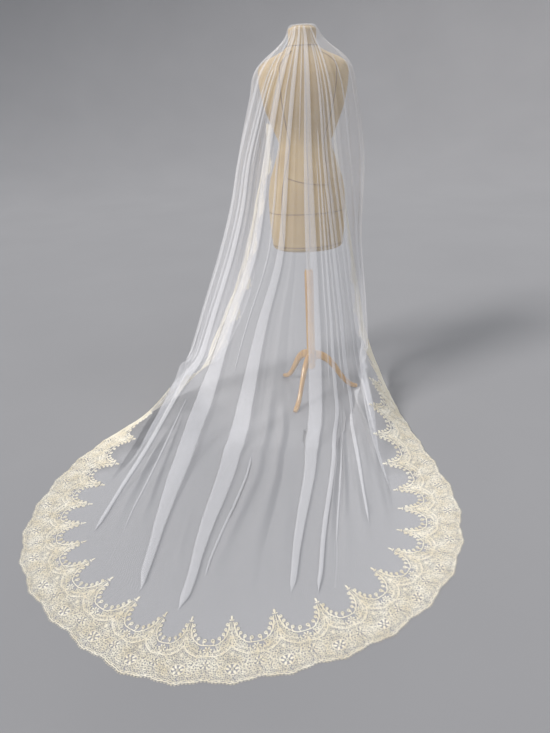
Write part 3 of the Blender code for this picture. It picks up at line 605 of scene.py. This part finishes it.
    def axes(self, t, v):
        """The directions out of the cloth, and the metres in one unit of t."""
        low, high = np.maximum(t - NEAR_T, 0), np.minimum(t + NEAR_T, 1)
        across = self.at(high, v) - self.at(low, v)
        down = self.at(t, v + NEAR_V) - self.at(t, v - NEAR_V)
        out = np.cross(down, across)
        out /= np.maximum(np.linalg.norm(out, axis=1), 1e-12)[:, None]
        return out, np.linalg.norm(across, axis=1) / (high - low)

    def keep_open(self, pleat, centre):
        """Keeps where a pleat lies down the cloth, and its width as a share of t, which is 0 if closed."""
        self.opened.append((centre, pleat_width(pleat, GRID_V) / self.axes(centre, GRID_V)[1]))

    def measure(self, u, v, own=None, opened=None):
        """Where thread lines lie across the sections, moved aside by each pleat but their own."""
        marks = np.stack([spline(t, v) for t in self.pleat_t])
        known_u = np.array([0, *self.pleat_u, 1])
        known_t = np.vstack((np.zeros(len(v)), marks, np.ones(len(v))))
        k = np.clip(np.searchsorted(known_u, u, side="right") - 1, 0, len(known_u) - 2)
        share = (u - known_u[k]) / (known_u[k + 1] - known_u[k])
        every = np.arange(len(v))
        t = known_t[k, every] + (known_t[k + 1, every] - known_t[k, every]) * share
        ends = ease(0, .1, t) * ease(0, .1, 1 - t)
        moved = t.copy()
        for i, (centres, widths) in enumerate(self.opened if opened is None else opened):
            if i == own:
                continue
            centre, width = np.interp(v, GRID_V, centres), np.interp(v, GRID_V, widths)
            room = np.where(u > self.folds[i][0], PLEAT_ROOM_RIGHT, -PLEAT_ROOM_LEFT)
            fade = np.exp(-np.abs(t - centre) / (ROOM_FADES * np.maximum(width, 1e-9)))
            moved += ends * room * width * fade
        return moved

    def creases(self, u, t, v):
        """How far the cloth stands out between the pleats: uneven waves, then listed ridges."""
        beside = ease(0, EDGE_CALM, u) * ease(0, EDGE_CALM, 1 - u)
        hanging = ease(1.2, 4.5, v) * (1 - ease(TOUCH - 1.5, TOUCH, v))
        run = 2 * math.pi * HEM_REPEATS * (u + .004 * np.sin(9 * u * math.pi + v * .6))
        broad = np.cos(run / 2) * (.75 + .25 * np.sin(17 * u + 2))
        fine = np.cos(run * 1.5 + 1.3 * np.sin(11 * u + .35 * v)) * (.5 + .5 * np.sin(23 * u + 1))
        height = (GATHER_HEIGHT * broad + RIPPLE_HEIGHT * fine) * beside * hanging
        soft = ease(TOUCH - .5, TOUCH + .5, v) * (1 - ease(LAID - .8, LAID, v))
        height += RIPPLE_HEIGHT * (1 + np.cos(run * .75 + 2 * np.sin(5 * u + v))) * beside * soft
        for c in CREASES:
            share = (v - c.start) / (c.end - c.start)
            rise = ease(0, .3, share) * (1 - ease(.7, 1, share))
            off = (u - c.u - c.drift * share) / c.width
            height += CREASE_RISE * c.height * rise * np.exp(-off**2) * beside
        clear = 1
        for centres, widths in self.opened:
            centre, width = np.interp(v, GRID_V, centres), np.interp(v, GRID_V, widths)
            away = np.abs(t - centre) / np.maximum(width, 1e-9)
            clear = clear * np.where(width > 0, ease(.7, 2.2, away), 1)
        return height * clear


def grid_row(grid, place):
    """A row of a grid, or one between two of its rows."""
    low = min(int(place), len(grid) - 2)
    return grid[low] + (grid[low + 1] - grid[low]) * (place - low)


def pleat_width(pleat, v):
    """A pleat's width in metres down the cloth, which is 0 where it is closed."""
    if isinstance(pleat, Pleat):
        stations = (pleat.first, SEAT_V, FLOOR_V, NEAR_END_V, pleat.last)
        near_end = NEAR_END * (pleat.at_floor + pleat.at_last)
        widths = (pleat.at_first, pleat.at_seat, pleat.at_floor, near_end, pleat.at_last)
    else:
        stations = (pleat.first, (pleat.first + pleat.last) / 2, pleat.last)
        widths = (FINE_ENDS * pleat.at_seat, pleat.at_seat, FINE_ENDS * pleat.at_seat)
    start, end = ease(pleat.first, pleat.first + ENDS_OVER, v), ease(pleat.last - ENDS_OVER, pleat.last, v)
    blended = [np.interp(v + step, stations, widths) for step in (-WIDTH_BLEND, 0, WIDTH_BLEND)]
    width = sum(blended) / len(blended) * (start * (1 - end))
    return np.where(width > PLEAT_CLOSED, width, 0)


class Border:
    """The band along both front edges and the hem: s counts repeats from the top of the left edge."""

    STEPS = 24              # stations for each repeat

    def __init__(self, drape):
        left, right = self.side(drape, "left"), self.side(drape, "right")
        u = np.linspace(0, 1, LACE_HEM_REPEATS * self.STEPS + 1)
        height = CLOTH / 2 + LIFT_EDGE * (drape.line[:, 2] - CLOTH / 2)
        edge = np.column_stack((drape.hem, height))
        hem_outer = between(u, drape.line_u, edge)
        hem_inner = between(u, drape.line_u, drape.line)
        self.inner = np.concatenate((left[0][:-1], hem_inner, right[0][::-1][1:]))
        outer = np.concatenate((left[1][:-1], hem_outer, right[1][::-1][1:]))
        self.count = len(outer)
        self.s = np.arange(self.count) / self.STEPS
        inward = self.inner - outer
        inward /= np.linalg.norm(inward, axis=1)[:, None]
        ends = ease(0, 1, self.s) * ease(0, 1, self.s[-1] - self.s)
        scallop = SCALLOP * (np.cos(2 * math.pi * self.s) + .35 * np.cos(6 * math.pi * self.s)) * ends
        self.outer = outer - inward * scallop[:, None]
        self.outer[:, 2] = np.maximum(self.outer[:, 2], CLOTH / 2)

    def side(self, drape, name):
        """The inner and outer points down one front edge."""
        first, last, far, path, v = self.edge_path(drape, name)
        m = np.linspace(first, last, LACE_SIDE_REPEATS * self.STEPS + 1)
        t = np.full(len(m), 0.0 if name == "left" else 1.0)
        return drape.at(t, np.interp(m, far, v)), between(m, far, path)

    @staticmethod
    def edge_path(drape, name):
        """The front edge's line, how far along it the lace starts and ends, and v at each point."""
        v = np.linspace(0, TOUCH, 600)
        path = spline(drape.table[:, Section._fields.index("edge_" + name)], v)
        corner = drape.hem[0 if name == "left" else -1]
        path = np.vstack((path, (*corner, CLOTH / 2)))
        v = np.append(v, LAID)
        far = distances(path)
        return float(np.interp(LACE_TOP_V, v, far)), far[-1], far, path, v

    def at(self, s, b):
        """Points and outward directions at repeats s and shares b of the width from the outer edge."""
        place = np.clip(s, 0, self.s[-1]) * self.STEPS
        k = np.minimum(place.astype(int), self.count - 2)
        f = (place - k)[:, None]
        inner, outer = (line[k] + (line[k + 1] - line[k]) * f for line in (self.inner, self.outer))
        k0, k1 = np.maximum(k - 2, 0), np.minimum(k + 3, self.count - 1)
        along = (self.inner[k1] - self.inner[k0] + self.outer[k1] - self.outer[k0]) / 2
        out = np.cross(along, inner - outer)
        out /= np.maximum(np.linalg.norm(out, axis=1), 1e-12)[:, None]
        places = outer + (inner - outer) * b[:, None]
        places[:, 2] = np.maximum(places[:, 2], CLOTH / 2)
        return places, out


# The tulle


LINE_STEP = 1e-5            # in u, which only puts a pleat's lines in order
CLEAR_OF_FOLD = .4          # of the columns' spacing
WELD_REACH = 5e-5


def side_rows(drape, name):
    """The measures v of the solid's rows where they leave one front edge."""
    first, last, far, _, v = Border.edge_path(drape, name)
    marks = np.concatenate((np.interp(BARE_V, v, far), np.linspace(first, last, 2 * SIDE_REPEATS + 1)))
    return np.interp(marks, far, v)


def back_rows(count):
    """The same number of rows behind, closer together where the cloth lies on the floor."""
    hanging = np.linspace(1, TOUCH, count - BACK_ROWS_LAID)
    return np.concatenate(([0], hanging, np.linspace(TOUCH, LAID, BACK_ROWS_LAID)[1:]))


def finer(values, each):
    """The values with others between them, in even steps."""
    return np.interp(np.arange((len(values) - 1) * each + 1) / each, np.arange(len(values)), values)


def panel(drape):
    """Rows of points of the panel, and their places on the flat cloth."""
    left_v, right_v = (finer(side_rows(drape, name), ROWS_EACH) for name in ("left", "right"))
    back_v = finer(back_rows(len(side_rows(drape, "left"))), ROWS_EACH)
    folds = drape.folds
    count = HEM_REPEATS * COLUMNS_EACH
    columns = [(j / count, None, 0) for j in range(count + 1)
               if all(abs(j / count - u) > CLEAR_OF_FOLD / count for u, _ in folds)]
    for i, (u, pleat) in enumerate(folds):
        columns += [(u + LINE_STEP * k, i, k) for k in range(len(profile_of(pleat)))]
    columns.sort()
    rows = len(left_v)
    grid = np.zeros((rows, len(columns), 3))
    for c, (u, own, k) in enumerate(columns):
        base_u = u if own is None else folds[own][0]
        middle = math.sin(math.pi * base_u) ** SIDE_TURN if 0 < base_u < 1 else 0
        side_v = left_v + (right_v - left_v) * base_u
        v = side_v + (back_v - side_v) * middle
        every_u = np.full(rows, base_u)
        t = drape.measure(every_u, v, own)
        if own is None:
            out, _ = drape.axes(t, v)
            grid[:, c] = drape.at(t, v) + out * drape.creases(every_u, t, v)[:, None]
        else:
            pleat = folds[own][1]
            profile = profile_of(pleat)
            across, high = profile[k]
            sway = 1 + PLEAT_SWAY * np.sin((SWAY_RIGHT if across > 0 else SWAY_LEFT) * v + 2 * own)
            grid[:, c] = pleat_line(drape, pleat, (across * sway, high), k / (len(profile) - 1), t, v)
    grid[..., 2] = np.maximum(grid[..., 2], CLOTH / 2)
    hanging = slice(rows // 4, 3 * rows // 4)
    steps = np.linalg.norm(np.diff(grid[hanging], axis=1), axis=2).mean(axis=0)
    across = np.concatenate(([0], np.cumsum(steps)))
    steps = np.linalg.norm(np.diff(grid, axis=0), axis=2).mean(axis=1)
    down = np.concatenate(([0], np.cumsum(steps)))
    flat = np.stack(np.meshgrid(across, down), axis=-1)
    return grid, flat


def profile_of(pleat):
    """The section that a wide or a narrow pleat is laid over in."""
    return PLEAT_PROFILE if isinstance(pleat, Pleat) else FINE_PROFILE


def pleat_line(drape, pleat, place, order, t, v):
    """One line of a pleat: a low ridge where it opens and closes, laid over to the left between."""
    across, high = place
    width = pleat_width(pleat, v)
    laid = ease(*LAID_OVER, width / pleat.at_seat)
    rise = PLEAT_RISE * (1 if isinstance(pleat, Pleat) else FINE_RISE)
    ridge_across, ridge_high = -RIDGE_WIDTH / 2 + RIDGE_WIDTH * order, math.sin(math.pi * order) ** 2
    moved = t + (ridge_across + (across - ridge_across) * laid) * width / drape.axes(t, v)[1]
    out, _ = drape.axes(moved, v)
    height = (ridge_high + (high - ridge_high) * laid) * rise * ease(0, .6, width / pleat.at_seat)
    return drape.at(moved, v) + out * height[:, None]


def make_tulle(drape, border, net):
    """The whole panel as one fine piece, with the ground of its border."""
    grid, flat = panel(drape)
    rows, count = grid.shape[:2]
    faces = []
    for r in range(rows - 1):
        for c in range(count - 1):
            faces.append((r * count + c, (r + 1) * count + c, (r + 1) * count + c + 1, r * count + c + 1))
    ground = (border.inner[::2], border.outer[::2], True)
    parts = [(grid.reshape(-1, 3), faces, flat.reshape(-1, 2)),
             *(strip_between(*strip) for strip in (*bare_edges(drape, grid), ground))]
    points, faces = gather(part[:2] for part in parts)
    obj = piece("tulle_panel", points, faces, net, "tulle", ("veil_tulle",),
                np.concatenate([uv for _, _, uv in parts]))
    rework(obj, weld)
    return obj


def weld(work):
    """Joins points that coincide, and removes the empty faces where pleats are closed."""
    bmesh.ops.remove_doubles(work, verts=work.verts[:], dist=WELD_REACH)
    bmesh.ops.dissolve_degenerate(work, edges=work.edges[:], dist=1e-6)


def bare_edges(drape, grid):
    """The stretch of each front edge above the lace: inner points, outer points, is it the left one."""
    strips = []
    for name, column in (("left", 0), ("right", grid.shape[1] - 1)):
        _, _, far, path, v = Border.edge_path(drape, name)
        rows = finer(side_rows(drape, name), ROWS_EACH)[:len(BARE_V) * ROWS_EACH + 1]
        outer = between(np.interp(rows, v, far), far, path)
        strips.append((grid[:len(rows), column], outer, name == "left"))
    return strips


def strip_between(inner, outer, is_left):
    """A strip of the net from inner points to outer ones, with its places on the flat cloth."""
    shares = np.linspace(0, 1, BORDER_STEPS + 1)
    points = (inner[:, None] + (outer - inner)[:, None] * shares[None, :, None]).reshape(-1, 3)
    uv = np.stack(np.meshgrid(shares * .2, np.linspace(0, .5, len(inner))), axis=-1).reshape(-1, 2)
    faces = []
    for r in range(len(inner) - 1):
        for c in range(BORDER_STEPS):
            a, b = r * len(shares) + c, (r + 1) * len(shares) + c
            face = (a, a + 1, b + 1, b)
            faces.append(face if is_left else face[::-1])
    return points, faces, uv


# The lace


CORD_LOW, CORD_HIGH = .0005, .0022  # heights of a cord's edges and middle above the net
PETAL_LOW = .0006
PETAL_SIDES = 8
ARC_STEPS = 4


def ribbon(path, width, high=CORD_HIGH, closed=False):
    """A flat cord with a raised middle along a line of (x, y) points; width may differ along it."""
    path = np.asarray(path, float)
    if closed:
        along = np.roll(path, -1, axis=0) - np.roll(path, 1, axis=0)
    else:
        along = np.gradient(path, axis=0)
    along /= np.maximum(np.linalg.norm(along, axis=1), 1e-9)[:, None]
    side = np.stack((-along[:, 1], along[:, 0]), axis=1) * (np.broadcast_to(width, len(path)) / 2)[:, None]
    levels = ((-1, CORD_LOW), (0, high), (1, CORD_LOW))
    points = np.concatenate([np.column_stack((path + side * k, np.full(len(path), h))) for k, h in levels])
    count = len(path)
    faces = []
    for i in range(count if closed else count - 1):
        j = (i + 1) % count
        for k in (0, 1):
            faces.append((k * count + i, k * count + j, (k + 1) * count + j, (k + 1) * count + i))
    return points, faces


def petal(x, y, angle, length, width, high=CORD_HIGH):
    """A leaf or petal from its root at (x, y), with a raised middle."""
    turns = np.linspace(0, 2 * math.pi, PETAL_SIDES, endpoint=False)
    reach = length / 2 * (1 - np.cos(turns))
    half = width / 2 * np.sin(turns) * (.6 + .4 * np.sin(turns / 2) ** 2)
    c, s = math.cos(angle), math.sin(angle)
    low = np.full(PETAL_SIDES, PETAL_LOW)
    outline = np.column_stack((x + reach * c - half * s, y + reach * s + half * c, low))
    centre = (x + .55 * length * c, y + .55 * length * s, high)
    faces = [(i, (i + 1) % PETAL_SIDES, PETAL_SIDES) for i in range(PETAL_SIDES)]
    return np.vstack((outline, centre)), faces


def circle(x, y, radius, count):
    turns = np.linspace(0, 2 * math.pi, count, endpoint=False)
    return np.column_stack((x + radius * np.cos(turns), y + radius * np.sin(turns)))


def curl(x, y, start, radius, way, turns, count):
    """A cord that winds into a small scroll, centred at (x, y)."""
    share = np.linspace(0, 1, count)
    angle = start + way * 2 * math.pi * turns * share
    reach = radius * (1 - .72 * share)
    return np.column_stack((x + reach * np.cos(angle), y + reach * np.sin(angle)))


def flower(x, y, radius, petals, turn=0):
    """Petals round a small ring."""
    parts = []
    root = radius * .28
    for i in range(petals):
        angle = turn + 2 * math.pi * i / petals
        parts.append(petal(x + root * math.cos(angle), y + root * math.sin(angle), angle,
                           radius * .74, radius * .62 * 6 / petals, .0026))
    parts.append(ribbon(circle(x, y, radius * .2, 7), radius * .14, high=.003, closed=True))
    return parts


# One repeat, in metres: x from the peak's axis, y from the outer edge
HALF = REPEAT / 2
TOP_ARC = ((.0055, .196), (.0085, .172), (.0140, .151), (.0245, .134), (.040, .1195), (HALF, .1140))
LOW_ARC = ((.000, .122), (.010, .103), (.023, .089), (.040, .081), (HALF, .079))
MID_ARC = ((.003, .150), (.008, .128), (.018, .112), (.034, .101), (.046, .0975))
SPRAY = ((.018, .044), (.026, .044), (.036, .043), (.044, .042))
# Small scrolls under the top arc: centre and radius
CURLS = ((.0120, .1885, .0056), (.0165, .1705, .0056), (.0225, .1550, .0055), (.0330, .1420, .0056),
         (.0490, .1325, .0068))
# Large ones round the flower: centre, first angle, radius, way round, turns, points and the cord's width
SCROLLS = (
    (.026, .058, 2.4, .0125, -1, 1.35, 20, .0026), (.041, .060, .6, .0085, 1, 1.2, 15, .0024),
    (.027, .030, -2.6, .0115, 1, 1.3, 18, .0026), (.045, .026, 2.6, .0075, -1, 1.2, 15, .0022),
)
FILL_HEIGHT = .19
FILL_SPACING = .0086
FILL_RADIUS = .0037
FILL_CORD = .0019
FILL_SHIFT = .0014          # how far a ring may lie off its place, each way
FILL_CLEAR = .006           # between a ring's centre and the top arc
LEAF_SLANT = math.radians(58)
LONGEST_ROUND = .034        # a part longer than this along the border is a cord that widens with it


def lace_top(x):
    """How far from the outer edge the worked ground reaches at a distance from the peak's axis."""
    arc = np.array(TOP_ARC)
    return np.interp(abs(x), arc[:, 0], arc[:, 1])


def half_motif():
    """What is mirrored about a peak's axis: cords, scrolls, leaves and flowers, as (x, y, height)."""
    parts = [ribbon(through(TOP_ARC, ARC_STEPS), .0032), ribbon(through(LOW_ARC, ARC_STEPS), .0030),
             ribbon(through(MID_ARC, ARC_STEPS), np.linspace(.0028, .0014, 17))]
    for x, y, radius in CURLS:
        parts.append(ribbon(curl(x, y, -2.2, radius, 1, 1.25, 14), .0030, high=.0030))
        foot = lace_top(x + .002)
        stalk = ((x - .004, y - .003), (x - .002, (y + foot) / 2 - .003), (x + .001, foot - .002))
        parts.append(ribbon(stalk, .0024))
    for k, (x, y) in enumerate(((.0315, .108), (.039, .1025), (.0455, .0985))):
        bend = ((x, y + .007), (x - .0035, y), (x - .001, y - .010 + .001 * k))
        parts.append(ribbon(through(bend, ARC_STEPS), .0022))
    parts += leaf_row(LOW_ARC, 7, .0085, .0042, 1)
    parts += leaf_row(MID_ARC, 5, .0065, .0034, -1)
    for *scroll, width in SCROLLS:
        parts.append(ribbon(curl(*scroll), width))
    parts += leaf_row(SPRAY, 4, .0080, .0042, 1) + leaf_row(SPRAY, 4, .0080, .0042, -1)
    parts += [petal(.015, .072, 1.1, .011, .005), petal(.034, .071, .9, .010, .0046)]
    return parts


def leaf_row(path, count, length, width, way):
    """Leaves that stand out at a slant along one side of a line."""
    marks = np.linspace(.35, len(path) - 1.25, count)
    places, ahead = spline(path, marks), spline(path, marks + .1)
    parts = []
    for (x, y), (ax, ay) in zip(places, ahead):
        angle = math.atan2(ay - y, ax - x) + way * LEAF_SLANT
        parts.append(petal(x, y, angle, length, width))
    return parts


def middle_motif():
    """What stands on the peak's axis and on the valley's."""
    parts = [ribbon(((0, .110), (0, .135), (0, .165), (0, .198)), np.array((.0030, .0032, .0028, .0022)))]
    parts.append(petal(0, .203, math.pi / 2, .018, .0088, .0030))
    parts += [petal(0, .2015, math.pi / 2 + way * 1.1, .0085, .0046) for way in (-1, 1)]
    parts += flower(0, .044, .0155, 6)
    parts.append(ribbon(circle(0, .044, .0165, 18), .0024, closed=True))
    parts += [petal(0, y, math.pi / 2, .0105, .0062) for y in (.084, .120, .136, .152)]
    for y in (.0900, .1300):
        parts.append(ribbon(((-.005, y), (0, y + .007), (.005, y), (0, y - .007)), .0018, closed=True))
    return parts


def valley_motif():
    """What stands on the line between two peaks, at x = 0 here."""
    parts = flower(0, .0985, .0125, 7, .3)
    parts += flower(0, .050, .0130, 6)
    parts.append(ribbon(circle(0, .050, .0152, 16), .0020, closed=True))
    parts += [petal(0, .0700, math.pi / 2, .008, .005), petal(0, .026, -math.pi / 2, .010, .0055)]
    return parts


def fill_motif():
    """Small rings that fill the ground between the cords, and the cords along the outer edge."""
    dice = np.random.default_rng(7)
    parts = []
    rows = int(FILL_HEIGHT / FILL_SPACING)
    columns = round((REPEAT + OUTER_REPEAT) / 2 / FILL_SPACING)
    step = REPEAT / columns
    for r in range(rows):
        y = .0095 + r * FILL_SPACING * .92
        for c in range(columns):
            x = -HALF + (c + .25 + .5 * (r % 2)) * step
            x += dice.uniform(-FILL_SHIFT, FILL_SHIFT)
            spot_y = y + dice.uniform(-FILL_SHIFT, FILL_SHIFT)
            radius = FILL_RADIUS * dice.uniform(.7, 1.2)
            if spot_y > lace_top(x) - FILL_CLEAR or is_open(abs(x), spot_y):
                continue
            parts.append(ribbon(circle(x, spot_y, radius, 6), FILL_CORD, high=.0018, closed=True))
    wave = np.linspace(-HALF, HALF, 37)
    parts.append(ribbon(np.column_stack((wave, .0030 + .0012 * np.cos(wave / HALF * 9 * math.pi))), .0030))
    parts.append(ribbon(np.column_stack((wave, np.full(37, .0075))), .0018, high=.0018))
    for x in np.linspace(-HALF, HALF, 17)[:-1] + HALF / 16:
        parts.append(ribbon(circle(x, -.0006, .0024, 6), .0014, high=.0016, closed=True))
    return parts


def is_open(x, y):
    """True between the two garlands and inside the large flowers, where the net shows through."""
    low = np.array(LOW_ARC)
    in_gap = np.interp(x, low[:, 0], low[:, 1]) + .012 < y and x > .040
    in_flower = math.hypot(x, y - .044) < .015 or math.hypot(x - HALF, y - .050) < .011
    return in_gap or in_flower


def whole_repeat():
    """Every part of one repeat, from valley to valley."""
    half = half_motif()
    parts = half + [mirrored(part) for part in half] + middle_motif() + fill_motif()
    for points, faces in valley_motif():
        left, right = points + (-HALF, 0, 0), points + (HALF, 0, 0)
        parts += [clipped(left, faces, 1), clipped(right, faces, -1)]
    return parts


def mirrored(part):
    """The same part on the other side of the peak's axis."""
    points, faces = part
    return points * (-1, 1, 1), [face[::-1] for face in faces]


def clipped(points, faces, side):
    """Only the faces on one side of a valley's line, so that neighbours don't double them."""
    limit = -HALF if side > 0 else HALF
    centres = [(face, np.mean([points[i][0] for i in face])) for face in faces]
    kept = [face for face, x in centres if (x - limit) * side >= 0]
    used = sorted({i for face in kept for i in face})
    order = {i: k for k, i in enumerate(used)}
    return points[used], [tuple(order[i] for i in face) for face in kept]


def kept_round(points):
    """A small part drawn narrower by as much as the border is wider there than at the tips."""
    if np.ptp(points[:, 0]) > LONGEST_ROUND:
        return points
    middle = points.mean(axis=0)
    wider = OUTER_REPEAT / REPEAT + (1 - OUTER_REPEAT / REPEAT) * np.clip(middle[1] / LACE_WIDTH, 0, 1)
    points[:, 0] = middle[0] + (points[:, 0] - middle[0]) / wider
    return points


def make_lace(name, border, first, last, finish, node):
    """The repeats from s = first to last as one piece, on the outer side of the net."""
    parts = [(kept_round(points), faces) for points, faces in whole_repeat() if faces]
    base, faces = gather(parts)
    base = np.array(base)
    centre_x = np.array([np.mean(base[list(face), 0]) for face in faces])
    all_points, all_faces = [], []
    dice = np.random.default_rng(11)
    for n in range(first, last + 1):
        kept = np.ones(len(faces), bool)
        if n == first:
            kept = centre_x >= 0
        if n == last:
            kept = centre_x <= 0
        s = n + base[:, 0] / REPEAT
        wander = .0006 * np.sin(base[:, 1] * 60 + dice.uniform(0, 6))
        places, out = border.at(s, (base[:, 1] + wander) / LACE_WIDTH)
        offset = len(all_points) * len(base)
        all_points.append(places + out * base[:, 2:3])
        all_faces += [tuple(i + offset for i in face) for face, keep in zip(faces, kept) if keep]
    points = np.concatenate(all_points)
    obj = piece(name, points, all_faces, finish, "lace", (node,))
    rework(obj, drop_loose)
    return obj


def drop_loose(work):
    """Removes points that no face uses."""
    bmesh.ops.delete(work, geom=[v for v in work.verts if not v.link_faces], context="VERTS")


# The dress form and its stand


BODY_SIDES = 96
BODY_ROWS = 120
BODY_SECOND_Z = .768        # the second ring, just above the rounded lower edge
BOTTOM_TUCK = .006          # how much narrower the lowest ring is
SEAM_TURNS = (-90, -128, -52, 90, 52, 128)   # degrees round the body: behind, then in front
SEAM_ENDS = (.78, 1.575)
SEAM_BOW = .10              # how far the side seams bend round the body, in radians
SEAM_LEVELS = (1.5925, .935, .786)
HIP_SEAM = (-125, -55)      # degrees round the body
SEAM_RADIUS = .0018
SEAM_SIDES = 6
SEAM_RAISE = .0002
CAP_SIDES = 64
CAP_CENTRE = .0005          # radius of the tiny faces in the middle of the cap
LEG_STEPS = 6
LEG_SIDES = 24
LEG_SQUARE = .6             # 1 is an ellipse, and less is squarer


def torso_half(z):
    """The body's half width and half depth at a height."""
    rows = np.array(TORSO_RINGS)
    return spline(rows, np.interp(z, rows[:, 0], np.arange(len(rows))))[0][1:]


def torso_ring(z, grow=0.0):
    wide, deep = torso_half(z)
    turns = np.linspace(0, 2 * math.pi, BODY_SIDES, endpoint=False)
    x, y = (wide + grow) * np.cos(turns), (deep + grow) * np.sin(turns)
    return np.column_stack((x, y, np.full(BODY_SIDES, z)))


def seam_point(z, turn):
    wide, deep = torso_half(z)
    return ((wide + SEAM_RAISE) * math.cos(turn), (deep + SEAM_RAISE) * math.sin(turn), z)


def make_form(cover, thread, wood, steel):
    rings = [torso_ring(TORSO_RINGS[0].z, -BOTTOM_TUCK)]
    rings += [torso_ring(z) for z in np.linspace(BODY_SECOND_Z, NECK_TOP - NECK_ROUND, BODY_ROWS)]
    for turn in np.linspace(0, math.pi / 2, 9)[1:]:
        z = NECK_TOP - NECK_ROUND * (1 - math.sin(turn))
        rings.append(torso_ring(z, -NECK_ROUND * (1 - math.cos(turn))))
    piece("form_cover", *loft(rings), cover, "cover", ("form_torso",))
    seams = []
    for degrees in SEAM_TURNS:
        turn, bow = math.radians(degrees), SEAM_BOW * (abs(degrees) != 90)
        seams.append([seam_point(z, turn + bow * math.sin((z - 1.2) * 4))
                      for z in np.linspace(*SEAM_ENDS, 70)])
    seams.append([seam_point(1.085 + .03 * math.sin(turn * 1.5), turn)
                  for turn in np.linspace(*np.radians(HIP_SEAM), 40)])
    for z in SEAM_LEVELS:
        seams.append([seam_point(z, turn) for turn in np.linspace(0, 2 * math.pi, 73)])
    piece("form_seams", *gather(tube(path, SEAM_RADIUS, SEAM_SIDES) for path in seams), thread, "cover")
    piece("form_neck_cap", *loft(cap_rings()), cover, "cover", ("form_cap",))
    for node, finish, slot in (("form_pole", wood, "wood"), ("form_rod", steel, "rod")):
        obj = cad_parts[node]
        obj.data.materials.clear()
        obj.data.materials.append(finish)
    for number, degrees in enumerate(LEG_ANGLES, 1):
        make_leg(f"curved_leg_{number}", math.radians(degrees), wood, f"form_leg_{number}")


def cap_rings():
    """The covered disc on the neck, with a rounded edge."""
    bottom = NECK_TOP + SEAM_GAP
    profile = ((CAP_CENTRE, bottom), (CAP_RADIUS - .001, bottom), (CAP_RADIUS, bottom + .001),
               (CAP_RADIUS - .0008, bottom + .0026), (CAP_RADIUS - .004, bottom + .0036),
               (CAP_CENTRE, bottom + CAP_THICK * .92))
    turns = np.linspace(0, 2 * math.pi, CAP_SIDES, endpoint=False)
    return [[(r * math.cos(a), r * math.sin(a), z) for a in turns] for r, z in profile]


def make_leg(name, angle, wood, node):
    """A curved leg with rounded edges, thickest at the pole, on a flat foot."""
    along = np.array((math.cos(angle), math.sin(angle), 0))
    across = np.array((-math.sin(angle), math.cos(angle), 0))
    up = np.array((0, 0, 1.0))
    rings = []
    for reach, z, half_width, half_height, tilt in through(LEG_RINGS, LEG_STEPS):
        slope = math.radians(tilt)
        normal = up * math.cos(slope) - along * math.sin(slope)
        middle = along * (reach + SEAM_GAP) + up * z
        ring = []
        for turn in np.linspace(0, 2 * math.pi, LEG_SIDES, endpoint=False):
            c, s = (math.copysign(abs(x)**LEG_SQUARE, x) for x in (math.cos(turn), math.sin(turn)))
            point = middle + across * half_width * c + normal * half_height * s
            point[2] = max(point[2], 0)
            ring.append(point)
        rings.append(ring)
    piece(name, *loft(rings), wood, "wood", (node,))


# Floor and lights


BOWL_FLOOR = 7              # radius of the flat floor
BOWL_CURVE = 4              # and of the curve that rises from it
BOWL_SIDES = 96


def make_stage():
    """A pale floor that curves up all round, far from the form."""
    profile = [(.5, 0), (3, 0), (BOWL_FLOOR, 0)]
    turns = np.linspace(.12, math.pi / 2, 14)
    profile += [(BOWL_FLOOR + BOWL_CURVE * math.sin(a), BOWL_CURVE * (1 - math.cos(a))) for a in turns]
    profile.append((BOWL_FLOOR + BOWL_CURVE, 2 * BOWL_CURVE))
    angles = np.linspace(0, 2 * math.pi, BOWL_SIDES, endpoint=False)
    rings = [[(r * math.cos(a), r * math.sin(a), z) for a in angles] for r, z in profile]
    points, faces = loft(rings, closed_ends=False)
    faces = [face[::-1] for face in faces]
    faces.append(tuple(range(BOWL_SIDES)))
    mesh = bpy.data.meshes.new("pale_bowl")
    mesh.from_pydata(points, [], faces)
    mesh.materials.append(floor_material())
    mesh.shade_smooth()
    floor = bpy.data.objects.new("pale_bowl", mesh)
    floor.visible_shadow = False
    bpy.context.scene.collection.objects.link(floor)


Lamp = namedtuple("Lamp", "name place power softness color")
# Distant lamps: where each shines from, and how wide it looks from the form, in degrees
LAMPS = (
    Lamp("key", (-4.6, -2.6, 4.0), 3.4, 20, (1, .98, .96)),
    Lamp("fill", (4.6, -3.6, 4.0), .9, 60, (.93, .96, 1)),
    Lamp("rim", (1.6, 4.6, 4.0), 1.3, 35, (1, 1, 1)),
)


def make_lights():
    for lamp in LAMPS:
        data = bpy.data.lights.new(lamp.name, "SUN")
        data.energy = lamp.power
        data.angle = math.radians(lamp.softness)
        data.color = lamp.color
        obj = bpy.data.objects.new(lamp.name, data)
        bpy.context.scene.collection.objects.link(obj)
        place = Vector(lamp.place)
        turn = (-place).to_track_quat("-Z", "Y").to_matrix().to_4x4()
        obj.matrix_world = Matrix.Translation(place) @ turn
    world = bpy.data.worlds.new("soft_room")
    world.use_nodes = True
    background = world.node_tree.nodes["Background"]
    background.inputs["Color"].default_value = (.85, .88, .92, 1)
    background.inputs["Strength"].default_value = .5
    bpy.context.scene.world = world


def main():
    make_camera()
    net, ivory = net_material(), lace_material()
    cover, wood, steel = cover_material(), wood_material(), steel_material()
    drape = Drape()
    border = Border(drape)
    tulle = make_tulle(drape, border, net)
    last = 2 * LACE_SIDE_REPEATS + LACE_HEM_REPEATS
    half = last // 2
    lace = [make_lace("corded_lace_left", border, 0, half, ivory, "lace_border_left"),
            make_lace("corded_lace_right", border, half, last, ivory, "lace_border_right")]
    make_form(cover, thread_material(), wood, steel)
    make_stage()
    make_lights()
    bpy.context.scene.cycles.transparent_max_bounces = 32
    bpy.context.scene.view_settings.view_transform = "Standard"


main()
